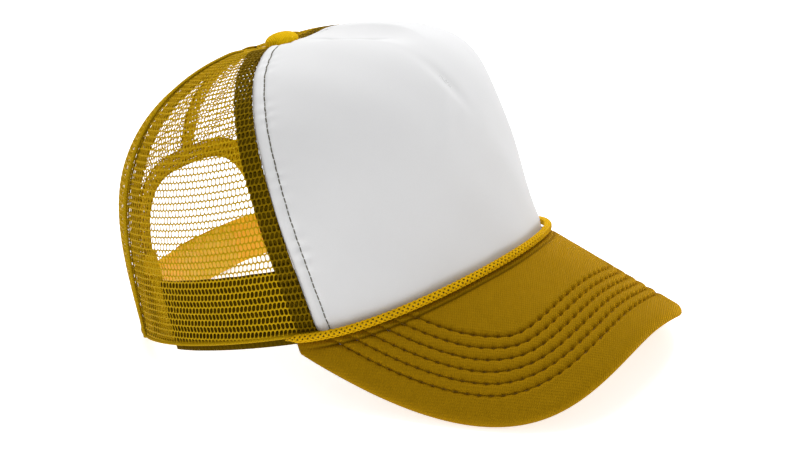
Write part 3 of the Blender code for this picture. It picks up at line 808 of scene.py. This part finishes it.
def knitted(p_low, p_high, q_low, q_high, offset=0.0, tilt=0.0, cell=CELL):
    """Points (p, q, lift) and faces of knitted mesh that covers a rectangle of flat cloth."""
    low, high = np.array([p_low, q_low]), np.array([p_high, q_high])
    reach = np.hypot(*(high - low)) / 2 if tilt else 0.0
    columns, rows = (int(half / pitch) + 2 for half, pitch in zip(
        np.maximum((high - low) / 2, reach), (CELL_WIDTH, CELL_HEIGHT)))
    i, j = (index.ravel() for index in np.meshgrid(np.arange(-columns, columns + 1),
                                                   np.arange(-rows, rows + 1)))
    middle = points((i + 0.5 * (j % 2) + offset) * CELL_WIDTH, (j + offset) * CELL_HEIGHT)
    spots = np.broadcast_to(cell, (len(i), *cell.shape)).copy()
    lean = np.where(j % 2 == 0, CELL_LEAN, -CELL_LEAN)[:, None, None]
    spots[..., 0] += lean * spots[..., 1] / (CELL_HEIGHT / 2)
    spots[..., :2] += middle[:, None, None]
    turned = np.array([[math.cos(tilt), math.sin(tilt)], [-math.sin(tilt), math.cos(tilt)]])
    spots[..., :2] = spots[..., :2] @ turned + (low + high) / 2
    cells, rings, sides = spots.shape[:3]
    quads = grid_quads(rings, sides, wrap=True) + (np.arange(cells) * rings * sides)[:, None, None]
    flat = spots[..., :2]
    inside = ((flat.max(axis=(1, 2)) > low) & (flat.min(axis=(1, 2)) < high)).all(axis=-1)
    return weld(spots.reshape(-1, 3), quads[inside].reshape(-1, 4))


def drop_flat(spots, quads, least=2.0e-9):
    """Leaves out the faces that were squashed flat against an edge."""
    corners = spots[quads]
    normal = np.cross(corners[:, 2] - corners[:, 0], corners[:, 3] - corners[:, 1])
    return quads[length(normal)[:, 0] > least]


def knit_on_crown(name, seam, side, edges, yarn, doubled=False, tilt=0.0, cut_arch=None,
                  painted_seam_shade=0.0):
    """Knitted mesh on the crown. seam and side give its centre line's turn at each level, and edges
    the distances from there to its two edges."""
    table = np.linspace(0.0, 1.0, 400) * (BAND_TOP if doubled else PANEL_TOP)
    height = along_of(crown_point(side * seam(table), table))
    edges = [edge + 0.0 * table for edge in (edges(table) if callable(edges) else edges)]
    parts, flats, shade_marks = [], [], []
    depths = (STRIP_DEPTH, STRIP_DEPTH + STRIP_STEP) if doubled else (MESH_DEPTH,)
    for index, depth in enumerate(depths):
        spots, quads = knitted(edges[0].min(), edges[1].max(), MESH_FOOT, height[-1], 0.5 * index, tilt,
                               DENSE_CELL if doubled else CELL)
        level = np.interp(np.clip(spots[:, 1], MESH_FOOT, height[-1]), height, table)
        p = np.clip(spots[:, 0], *(np.interp(level, table, edge) for edge in edges))
        turn = walk(side * seam(level), level, p)
        if cut_arch is not None:
            turn, level, keep = outside_arch(turn, level, cut_arch)
            quads = quads[keep[quads].any(axis=1)]
        near, far = (np.interp(level, table, edge) for edge in edges)
        margin = np.minimum(p - near, far - p)
        sink = 0.0 if doubled else 0.0004 * (1.0 - smooth(margin, 0.0, 0.0025))
        placed = crown(turn, level, depth - spots[:, 2] + sink)
        parts.append((placed, drop_flat(placed, quads)))
        flats.append(spots[:, :2])
        # Painted shade: the side mesh is darkened beside its front seam band and along its side seam,
        # where shade falls.
        from_front = p - near if side > 0 else far - p
        border = np.maximum(1.0 - smooth(from_front, STRIP_WIDTH - 0.0012, STRIP_WIDTH),
                            1.0 - smooth(far - near - from_front, 0.0016, 0.0028))
        shade_marks.append(painted_seam_shade * border)
    add_piece(name, *merged(parts), yarn, "doubled_mesh" if doubled else "mustard_mesh",
              [name.replace("band", "strip").replace("_fabric", "")],
              cloth=np.concatenate(flats), shade_marks=np.concatenate(shade_marks))


def outside_arch(turn, level, grow):
    """Moves the points inside the rear opening onto its outline, and says which were outside."""
    spot = crown_point(turn, level)
    back = np.full_like(turn, math.pi)
    height = crown_point(back, level)[..., 2] - crown_point(back, 0.0 * level)[..., 2]
    wide, tall = ARCH_HALF_WIDTH + grow, ARCH_HEIGHT + grow
    size = (np.abs(spot[..., 0]) / wide) ** ARCH_POWER + (np.maximum(height, 0.0) / tall) ** ARCH_POWER
    inside = (np.cos(turn) < 0.0) & (size < 1.0)
    x, z = spot[inside, 0], height[inside]
    factor = np.maximum(size[inside], 1e-4) ** (-1.0 / ARCH_POWER)
    low = z < 0.55 * tall
    beside = np.sign(x) * wide * (1.0 - (z / tall) ** ARCH_POWER) ** (1.0 / ARCH_POWER)
    new_level = level_at(math.pi, np.where(low, z, z * factor))
    new_turn = turn_at(np.where(low, beside, x * factor), new_level)
    turn, level = turn.copy(), level.copy()
    turn[inside] = np.where(turn[inside] < 0.0, new_turn - 2.0 * math.pi, new_turn)
    level[inside] = new_level
    return turn, level, ~inside


def panel_between(first, second, side):
    """The turn midway between two seams, and the distances from there to the panel's two edges."""
    def centre(level):
        return 0.5 * (first(level) + second(level))

    def edges(level):
        reach = []
        for seam in (first, second)[::side]:
            turns = np.linspace(side * centre(level), side * seam(level), 60)
            line = crown_point(turns, np.broadcast_to(level, turns.shape))
            reach.append(length(np.diff(line, axis=0))[..., 0].sum(axis=0))
        return -reach[0], reach[1]
    return centre, side, edges


def build_mesh_panels():
    for side, word in SIDES:
        panel = panel_between(front_seam, side_seam, side)
        knit_on_crown(f"side_mesh_fabric_{word}", *panel, mesh_yarn, tilt=side * 0.05, painted_seam_shade=0.9)
        panel = panel_between(side_seam, back_seam, side)
        knit_on_crown(f"rear_mesh_fabric_{word}", *panel, mesh_yarn, cut_arch=0.0)


def build_strips():
    for side, word in SIDES:
        for place, seam, first, second, yarn in (
                ("front", front_seam, 0.0004, STRIP_WIDTH, painted_shade_strip_yarn),
                ("side", side_seam, -STRIP_WIDTH, -0.0002, strip_yarn)):
            edges = sorted((side * first, side * second))
            knit_on_crown(f"{place}_seam_band_{word}", seam, side, edges, yarn, doubled=True)
    knit_on_crown("back_seam_band", back_seam, 1, (-STRIP_WIDTH / 2, STRIP_WIDTH / 2), strip_yarn,
                  doubled=True, cut_arch=BINDING_WIDTH - 0.0005)


def arch_spot(angle, grow):
    power = 2.0 / ARCH_POWER
    across = -np.cos(angle)
    x = np.sign(across) * np.abs(across) ** power * (ARCH_HALF_WIDTH + grow)
    return x, np.sin(angle) ** power * (ARCH_HEIGHT + grow)


def add_fold(name, path, normals, profile, pitch, slot="mustard_mesh"):
    """A rolled fold of mesh; pitch is the cloth's width from one side of its section to the next."""
    add_piece(name, *sweep(path, normals, profile), fold_cloth, slot,
              cloth=points(along_of(path)[:, None], np.arange(len(profile)) * pitch))


def build_arch_binding():
    """Doubled mesh round the rear opening, with its folded edge."""
    angles = np.linspace(0.0, math.pi, 600)
    middle = along_of(back_wall(*arch_spot(angles, BINDING_WIDTH / 2), 0.0))
    parts, flats = [], []
    for index in range(2):
        spots, quads = knitted(0.0, middle[-1], 0.0, BINDING_WIDTH, 0.5 * index, cell=DENSE_CELL)
        grow = np.clip(spots[:, 1], 0.0, BINDING_WIDTH)
        x, z = arch_spot(np.interp(spots[:, 0], middle, angles), grow)
        placed = back_wall(x, np.maximum(z, 0.0008), STRIP_DEPTH + STRIP_STEP * index - spots[:, 2])
        parts.append((placed, drop_flat(placed, quads)))
        flats.append(spots[:, :2])
    add_piece("arch_binding_mesh", *merged(parts), strip_yarn, "doubled_mesh", ["arch_binding"],
              cloth=np.concatenate(flats))
    x, z = arch_spot(angles, 0.0005)
    level = level_at(math.pi, z)
    add_fold("arch_folded_edge", back_wall(x, np.maximum(z, 0.0004), 0.0013),
             crown_normal(turn_at(x, level), level), oval(0.0007, 0.0015, 12), 0.0006, "doubled_mesh")


def build_folds():
    """Rolled folds: the hem along the rim, and the welts on the mesh seams."""
    back = turn_at(np.array([ARCH_HALF_WIDTH]), np.array([0.01]))[0]
    for side, word in SIDES:
        turn = side * np.linspace(front_seam(0.0) - 0.06, back, 420)
        level = np.full_like(turn, 0.010)
        add_fold(f"rim_hem_{word}", crown(turn, level, 0.0015), crown_normal(turn, level),
                 oval(0.0010, 0.0017, 12), 0.0007)
        turn, level = seam_line(side_seam, side, 0.0018, 0.008, 0.93, 420)
        add_fold(f"side_seam_welt_{word}", crown(turn, level, 0.0001), crown_normal(turn, level),
                 oval(0.0014, 0.0009, 8), 0.0006)
    level = np.linspace(level_at(math.pi, ARCH_HEIGHT + 0.001), 0.93, 260)
    turn = np.full_like(level, math.pi)
    add_fold("back_seam_welt", crown(turn, level, 0.0002), crown_normal(turn, level),
             oval(0.0008, 0.0006, 8), 0.0006)


def band_grid(turns, low, high, rows):
    """Turns, heights and levels of an upright band's grid."""
    turn, height = np.meshgrid(turns, np.linspace(low, high, rows))
    return turn, height, level_at(turn, np.maximum(height, 0.0))


def add_band(name, outer, inner, height, *finish):
    """A closed upright piece, whose cloth is laid out along its foot."""
    return add_sheet(name, outer, inner, points(along_of(outer[0]), height), *finish)


def build_sweatband():
    turn, height, level = band_grid(np.linspace(-SWEATBAND_END, SWEATBAND_END, 480),
                                    SWEATBAND_FOOT, SWEATBAND_HEIGHT, 30)
    drop = points(0.0, 0.0, np.minimum(height, 0.0))
    share = np.clip(height / SWEATBAND_HEIGHT, 0.0, 1.0)
    ripple = 0.00030 * np.sin(turn * 46.0 + 1.5 * np.sin(turn * 9.0)) * share
    tuck = 0.00035 * np.sin(height * 900.0 + 2.0 * np.sin(turn * 7.0)) * bump(share, 0.45, 0.30)
    fold = 0.0008 * bump(share, 0.96, 0.05) - 0.0004 * bump(share, 0.80, 0.03)
    band = add_band("sweatband_cloth", crown(turn, level, SWEATBAND_DEPTH + ripple + tuck) + drop,
                    crown(turn, level, SWEATBAND_DEPTH + SWEATBAND + ripple + fold) + drop, height,
                    sweat_cloth, "sweatband_cloth", ["sweatband"])


def build_rear_facings():
    """The ribbed doubled mesh inside the rim, between the sweatband's ends and the rear opening."""
    last = turn_at(np.array([ARCH_HALF_WIDTH + FACING_END_GAP]), np.array([0.05]))[0]
    for side, word in SIDES:
        turn, height, level = band_grid(side * np.linspace(SWEATBAND_END - 0.004, last, 150)[::side],
                                        FACING_FOOT, FACING_HEIGHT, 120)
        rib = 0.00035 * np.abs(np.sin(height * math.pi / CELL_HEIGHT * 1.5))
        add_band(f"rear_facing_cloth_{word}", crown(turn, level, SWEATBAND_DEPTH - rib),
                 crown(turn, level, SWEATBAND_DEPTH + STRIP_STEP + 0.0006 + rib), height,
                 facing_cloth, "doubled_mesh", [f"rear_facing_{word}"])


# ==== Visor ====

def row_shift(angle):
    """The outermost stitch row's distance from the free edge, a little wider towards the front."""
    side, front = math.sin(math.radians(44)), math.sin(math.radians(62))
    return EDGE_TO_ROWS + 0.0011 * smooth(np.sin(angle), side, front)


class Visor:
    """The visor's grid, with the distance to its edge and its rows of stitching."""

    def __init__(self, columns, rows):
        self.angle, self.outward = np.meshgrid(
            np.linspace(VISOR_END, math.pi - VISOR_END, columns), np.linspace(0.0, 1.0, rows))
        self.base = visor_point(self.angle, self.outward)
        self.normal = visor_normal(self.angle, np.clip(self.outward, 0.02, 0.98))
        edge_line = visor_point(np.linspace(0.01, math.pi - 0.01, 1500), np.ones(1500))
        self.edge = distance_to(edge_line, self.base)
        self.row = (self.edge - row_shift(self.angle)) / ROW_PITCH
        self.width = self.edge.max(axis=0)
        self.ends = smooth(self.width, 0.002, 0.012)
        self.root = length(self.base - self.base[:1])[..., 0]
        self.lines = [self.find_row(index) for index in range(STITCH_ROWS)]
        holes = [self.space_out(line) for line in self.lines]
        self.hole = distance_to(np.concatenate(holes), self.base)
        nearest = np.clip(np.round(self.row), 0, STITCH_ROWS - 1)
        self.row_distance = np.abs(self.row - nearest) * ROW_PITCH
        radius = bend_radius(self.base[..., 1])
        side = radius * np.arcsin(np.clip(self.base[..., 0] / radius, -1.0, 1.0))
        self.cloth = points(side, self.base[..., 1] / math.cos(VISOR_SLOPE))

    def find_row(self, index):
        """The (angle, outward) points of one stitch row, column by column."""
        found = []
        for angle, outward, values in zip(self.angle[0], self.outward.T, self.row.T):
            crossing = np.nonzero((values[:-1] >= index) & (values[1:] < index))[0]
            if len(crossing):
                low = crossing[-1]
                share = (values[low] - index) / (values[low] - values[low + 1])
                found.append((angle, outward[low] + share * (outward[1] - outward[0])))
        return np.array(found)

    def space_out(self, line):
        """Needle holes along a row, a stitch apart."""
        walked = along_of(visor_point(*line.T))
        spots = np.linspace(0.0, walked[-1], int(walked[-1] / STITCH_PITCH) + 1)
        return visor_point(*at_distance(spots, walked, line).T)


def quilting(distance, height):
    """The rounded puff of padding between rows of stitching, from the distance to a row."""
    share = np.clip(distance / (ROW_PITCH / 2), 0.0, 1.0)
    return height * np.sqrt(np.clip(1.0 - (1.0 - share) ** 2, 0.0, 1.0))


def build_visor_top(visor):
    """The padded top cover, tucked in under the rope and rolled round the free edge."""
    # Painted shadow of the rope on the visor just outside it, which also sinks the cloth a little, and
    # painted shade in the needle holes.
    shadow = bump(visor.root, 0.0039, 0.0007) * visor.ends
    painted_shade = np.maximum(bump(visor.hole, 0.0, 0.00045), 0.8 * shadow)
    puff = quilting(visor.row_distance, PUFF) - 0.0005 * bump(visor.hole, 0.0, 0.0009)
    pinch = 0.00022 * np.cos(2.0 * math.pi * np.clip(visor.hole / STITCH_PITCH, 0.0, 0.5))
    puff = puff - pinch * bump(visor.row_distance, 0.0, 0.0016)
    wave = 0.0003 * np.sin(visor.base[..., 0] * 130.0) * np.sin(visor.base[..., 1] * 90.0)
    rise = (puff - PUFF_SINK + wave * smooth(visor.row, STITCH_ROWS - 1, STITCH_ROWS + 1)) * visor.ends
    rise = np.maximum(rise * smooth(visor.root, 0.0, 0.003) - 0.0005 * shadow, LOWEST_PUFF)
    radius = np.minimum(VISOR_THICKNESS / 2, visor.width * EDGE_SHARE)
    cut = np.clip((visor.edge - radius) / np.maximum(radius, 1e-6), -1.0, 0.0)
    round_off = radius * (1.0 - np.sqrt(np.clip(1.0 - cut * cut, 0.0, 1.0)))
    top = visor.base + visor.normal * (rise * smooth(visor.edge, 0.0, 0.004) - round_off)[..., None]
    away = unit(visor.base[-1] - visor.base[0])
    top = top + away * (VISOR_ROOT_GAP * (1.0 - visor.outward))[..., None]
    out, down, radius = away, -visor.normal[-1], radius[:, None]
    start = visor.base[-1] + down * radius
    lip = [start + down * (radius * math.sin(turn)) - out * (radius * (1.0 - math.cos(turn)))
           for turn in np.linspace(0.0, 0.5 * math.pi, 9)[1:]]
    lip.append(lip[-1] - out * np.minimum(0.0035, visor.width * 0.2)[:, None])
    tucked = [top[0] - out * reach - visor.normal[0] * sink
              for reach, sink in ((0.0042, 0.0013), (0.0010, 0.0010), (0.0004, 0.0004))]
    surface = np.concatenate([tucked, top, lip])
    turned_in = [visor.cloth[-1] - [0.0, 0.0004 * (index + 1)] for index in range(len(lip))]
    cloth = np.concatenate([[visor.cloth[0]] * len(tucked), visor.cloth, turned_in])
    shade_marks = np.pad(painted_shade, ((len(tucked), len(lip)), (0, 0)))
    cover = add_piece("visor_top_fabric", surface, grid_quads(*surface.shape[:2])[:, ::-1], visor_cloth,
                      "mustard_fabric", ["visor_top_cover"], cloth=cloth, shade_marks=shade_marks)


def build_visor_under(visor):
    """The flatter cover of the underside, which ends inside the rolled edge."""
    thick = np.minimum(VISOR_THICKNESS, 2.0 * visor.width * EDGE_SHARE)
    puff = quilting(visor.row_distance, UNDER_PUFF) - 0.0003 * bump(visor.hole, 0.0, 0.0010)
    outward = visor.outward * (1.0 - np.minimum(0.0024 / np.maximum(visor.width, 1e-4), 0.4))
    base = visor_point(visor.angle, outward)
    normal = visor_normal(visor.angle, np.clip(outward, 0.02, 0.98))
    lower = base - normal * (thick + puff * visor.ends)[..., None]
    upper = base - normal * (thick - 0.0006)[:, None]
    spots, quads = sheet_solid(upper, lower)
    # The underside's marks are painted shade in the needle holes.
    add_piece("visor_under_fabric", spots, quads[:, ::-1], visor_cloth, "mustard_fabric",
              ["visor_under_cover"], cloth=np.stack([visor.cloth, visor.cloth]),
              shade_marks=np.stack([0.0 * visor.hole, bump(visor.hole, 0.0, 0.0006)]))


def build_visor():
    visor = Visor(601, 181)
    build_visor_top(visor)
    build_visor_under(Visor(301, 91))
    build_visor_stitches(visor)


def build_visor_stitches(visor):
    """One thread along each row, which dips into a needle hole at the end of every stitch."""
    parts = []
    thread_step = 0.00045
    for line in visor.lines:
        walked = along_of(visor_point(*line.T))
        spots = np.linspace(0.0, walked[-1], int(walked[-1] / thread_step))
        angle, outward = at_distance(spots, walked, line).T
        phase = (spots / walked[-1] * int(walked[-1] / STITCH_PITCH)) % 1.0
        lift = -STITCH_SINK - 0.0003 * bump(np.minimum(phase, 1.0 - phase), 0.0, 0.10)
        lift = lift - 0.0008 * (1.0 - smooth(outward, 0.0, 0.02))
        normal = visor_normal(angle, outward)
        path = visor_point(angle, outward) + normal * lift[:, None]
        parts.append(sweep(path, normal, oval(0.00030, 0.00026, 6)))
    add_piece("visor_stitches", *merged(parts), visor_thread, "mustard_fabric")


# ==== Rope and button ====

def build_rope():
    """A braid of eight strands round a core painted near-black as the shade in the gaps between them,
    in the corner between crown and visor.
    """
    turn = np.linspace(-ROPE_HALF_ANGLE, ROPE_HALF_ANGLE, 1500)
    level = level_at(turn, ROPE_SEAT * (ROPE_RADIUS + 0.0003))
    centre = crown(turn, level, -(ROPE_RADIUS + 0.0002))
    walked = along_of(centre)
    spots = np.linspace(0.0, walked[-1], 1100)
    centre = at_distance(spots, walked, centre)
    normal = at_distance(spots, walked, crown_normal(turn, level))
    forward = unit(np.gradient(centre, axis=0))
    side = unit(np.cross(forward, normal))
    out = np.cross(side, forward)
    taper = 0.35 + 0.65 * smooth(np.minimum(spots, spots[-1] - spots), 0.0, 0.006)
    strands, pitch, sides = 4, 0.0088, 8
    parts = []
    for hand in (1, -1):
        for index in range(strands):
            around = hand * 2.0 * math.pi * spots / pitch + 2.0 * math.pi * index / strands
            reach = (0.00138 + hand * 0.00017 * np.cos(strands * around)) * taper
            radial = out * np.cos(around)[:, None] + side * np.sin(around)[:, None]
            strand = centre + radial * reach[:, None]
            parts.append(sweep(strand, radial, oval(0.00048, 0.00030, sides), taper))
    cloth = points(spots[:, None], np.arange(sides) * 0.0003)
    add_piece("visor_rope_braid", *merged(parts), rope_yarn, "braided_rope", ["visor_rope"],
              cloth=np.stack([cloth] * len(parts)))
    add_piece("visor_rope_core", *sweep(centre, normal, oval(0.00105, 0.00105, 12), taper), rope_core_painted_shade,
              "braided_rope")


def build_button():
    """The fabric-covered dome, gathered under its rim."""
    count, rings = 96, 22
    around = np.arange(count) * 2.0 * math.pi / count
    tilt = np.linspace(0.0, 0.62 * math.pi, rings)[:, None]
    height = np.where(tilt < 0.5 * math.pi, BUTTON_DOME, BUTTON_SKIRT) * np.cos(tilt)
    radius = BUTTON_RADIUS * np.sin(tilt) ** 0.86
    gather = 1.0 + 0.018 * np.sin(around * 14.0) * smooth(tilt, 1.2, 1.9)
    x, y = radius * np.cos(around) * gather, radius * np.sin(around) * gather
    spots = points(x, y + BUTTON_Y, height + CROWN_HEIGHT + BUTTON_LIFT - 0.0002)
    add_piece("button_fabric", spots, grid_quads(rings, count, wrap=True)[:, ::-1], button_cloth,
              "mustard_fabric", ["button_cover"], cloth=points(x, y))


# ==== Snap straps ====

def strap_profile(kind):
    """Rings from a cell's border (share 0) to its middle: (share to the middle shape, radius, lift)."""
    top, point = STRAP / 2, 0.00002
    if kind == "hole":
        flat = [(share, HOLE_RADIUS, top) for share in (0.0, 0.5, 0.85)]
        rim = ((0.93, top + 0.0003), (1.0, top + 0.0002), (1.0, 0.0))
        return flat + [(share, HOLE_RADIUS, lift) for share, lift in rim]
    if kind == "stud":
        base = [(share, STUD_RADIUS * 1.25, top) for share in (0.0, 0.5, 0.85, 1.0)]
        knob = ((0.85, 0.125), (0.80, 0.5), (1.12, 0.62), (1.0, 0.85), (0.55, 1.0))
        return base + [(1.0, STUD_RADIUS * wide, top + STUD_HEIGHT * high) for wide, high in knob] + [
            (1.0, point, top + STUD_HEIGHT)]
    return [(share, point, top) for share in (0.0, 0.4, 0.8, 1.0)]


def strap_cell(x_low, x_high, kind, middle_x):
    """The upper and lower faces of one stretch of strap: (x, height, lift) points and faces."""
    middle = np.array([middle_x, (STRAP_LOW + STRAP_HIGH) / 2])
    xs = np.linspace(x_low, x_high, 9)
    zs = np.linspace(STRAP_LOW, STRAP_HIGH, 15)
    border = np.array(
        [(x, STRAP_LOW) for x in xs[:-1]] + [(x_high, z) for z in zs[:-1]]
        + [(x, STRAP_HIGH) for x in xs[:0:-1]] + [(x_low, z) for z in zs[:0:-1]])
    circle = unit(border - middle)
    parts = []
    for face in (1, -1):
        rings = []
        for share, radius, lift in strap_profile(kind if face > 0 or kind == "hole" else "plain"):
            ease = share ** 0.7
            flat = border * (1.0 - ease) + (middle + circle * radius) * ease
            rings.append(points(flat[:, 0], flat[:, 1], face * lift))
        quads = grid_quads(len(rings), len(border), wrap=True)
        parts.append((np.stack(rings), quads if face > 0 else quads[:, ::-1]))
    return merged(parts)


def strap_depth(word, x):
    root = HINGE_X - 0.0009
    if word == "stud":
        return STRAP_DEPTH + STUD_STRAP_SINK * smooth(x, -root + 0.002, -root + 0.011)
    return STRAP_DEPTH - HOLE_STRAP_RISE * smooth(-x, -root + 0.002, -root + 0.011)


def build_strap(word, side, tip, places, kind):
    """A strap from its sewn end over its hinge to its rounded tip."""
    start = side * (ARCH_HALF_WIDTH + BINDING_WIDTH - 0.0008)
    toward = -side
    cells = [(place - STUD_PITCH / 2, place + STUD_PITCH / 2, kind, place) for place in places]
    outer, inner = (cells[0][0], cells[-1][1])[::side]
    plain = np.linspace(start, inner, 9)
    for first, second in [*zip(plain, plain[1:]), (outer, tip)]:
        if abs(second - first) > 0.0002:
            cells.append((min(first, second), max(first, second), "plain", (first + second) / 2))
    spots, quads = merged([strap_cell(*cell) for cell in cells])
    x, z, lift = spots.T
    middle, half = (STRAP_LOW + STRAP_HIGH) / 2, (STRAP_HIGH - STRAP_LOW) / 2
    past = np.clip((x * toward - (tip * toward - STRAP_CORNER)) / STRAP_CORNER, 0.0, 1.0)
    reach = half - STRAP_CORNER * (1.0 - np.sqrt(1.0 - past * past))
    z = middle + (z - middle) * reach / half
    edge = np.minimum(reach - np.abs(z - middle), np.abs(tip - x))
    rim = 0.00028 * bump(edge, 0.0011, 0.0006) - 0.0005 * (1.0 - smooth(edge, -0.0001, 0.0007))
    lift = lift + np.sign(lift) * rim * (np.abs(lift) <= STRAP)
    placed, quads = weld(back_wall(x, z, strap_depth(word, x) + STRAP / 2 - lift), quads)
    obj = add_piece(f"{word}_strap_plastic", placed, drop_flat(placed, quads, 1e-12), snap_plastic,
                    "snap_plastic", [f"{word}_strap_tab", f"{word}_strap"], body=None)
    near, far = (tuple(to_world(back_wall(side * HINGE_X + offset * toward, middle, STRAP_DEPTH)))
                 for offset in (-0.0018, 0.0018))
    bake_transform(obj)


def build_straps():
    places = [STUD_FIRST_X + STUD_PITCH * index for index in range(STUD_COUNT)]
    build_strap("stud", -1, STUD_STRAP_TIP, places, "stud")
    build_strap("hole", 1, HOLE_STRAP_TIP, places, "hole")


# ==== Carried-over nodes ====

def repaint():
    """Gives the hard CAD nodes that stay their materials."""
    for node, material in (("visor_board", board_plastic), ("button_shell", button_metal),
                           ("button_rivet", button_metal)):
        for slot in frame["nodes"][node].material_slots:
            slot.material = material


# ==== Studio and camera ====

def build_studio():
    floor = bpy.data.meshes.new("studio_floor")
    corners = [(FLOOR_REACH * x, FLOOR_REACH * y, 0) for x, y in ((-1, -1), (1, -1), (1, 1), (-1, 1))]
    floor.from_pydata(corners, [], [(0, 1, 2, 3)])
    paper = Nodes("pale_paper", (0.90, 0.90, 0.90), 0.9)
    paper.put(paper.shader, {"Emission Color": (1.0, 1.0, 1.0), "Emission Strength": 0.70})
    floor.materials.append(paper.material)
    ground = into_scene("studio_floor", floor)
    ground.location.z = -0.0002
    bpy.context.scene.view_settings.view_transform = "Standard"
    world = bpy.data.worlds.new("studio")
    bpy.context.scene.world = world
    world.use_nodes = True
    backdrop = world.node_tree.nodes["Background"].inputs
    backdrop["Color"].default_value = (1.0, 1.0, 1.0, 1.0)
    backdrop["Strength"].default_value = 0.40
    target = Vector((0.0, 0.0, 0.06))
    for name, place, size, power in (
            ("key_light", (0.40, 0.18, 1.40), 1.0, 18.0),
            ("fill_light", (-0.6, -1.3, 0.8), 1.2, 2.2),
            ("side_light", (1.20, 0.35, 0.45), 0.7, 3.5)):
        light = bpy.data.lights.new(name, "AREA")
        light.size = size
        light.energy = power
        lamp = into_scene(name, light)
        lamp.location = place
        lamp.rotation_euler = (target - Vector(place)).to_track_quat("-Z", "Y").to_euler()


def build_camera():
    back = Vector((math.sin(AZIMUTH) * math.cos(ELEVATION), -math.cos(AZIMUTH) * math.cos(ELEVATION),
                   math.sin(ELEVATION)))
    data = bpy.data.cameras.new("camera")
    data.lens = LENS_MM
    data.sensor_width = 36.0
    camera = into_scene("camera", data)
    camera.location = AIM + back * DISTANCE
    facing = (-back).to_track_quat("-Z", "Y").to_matrix() @ Matrix.Rotation(ROLL, 3, "Z")
    camera.rotation_euler = facing.to_euler()
    bpy.context.scene.camera = camera


for build in (build_camera, build_studio, build_front, build_topstitch, build_mesh_panels, build_strips,
              build_arch_binding, build_folds, build_sweatband, build_rear_facings, build_visor,
              build_rope, build_button, build_straps, repaint):
    build()

bpy.context.view_layer.update()
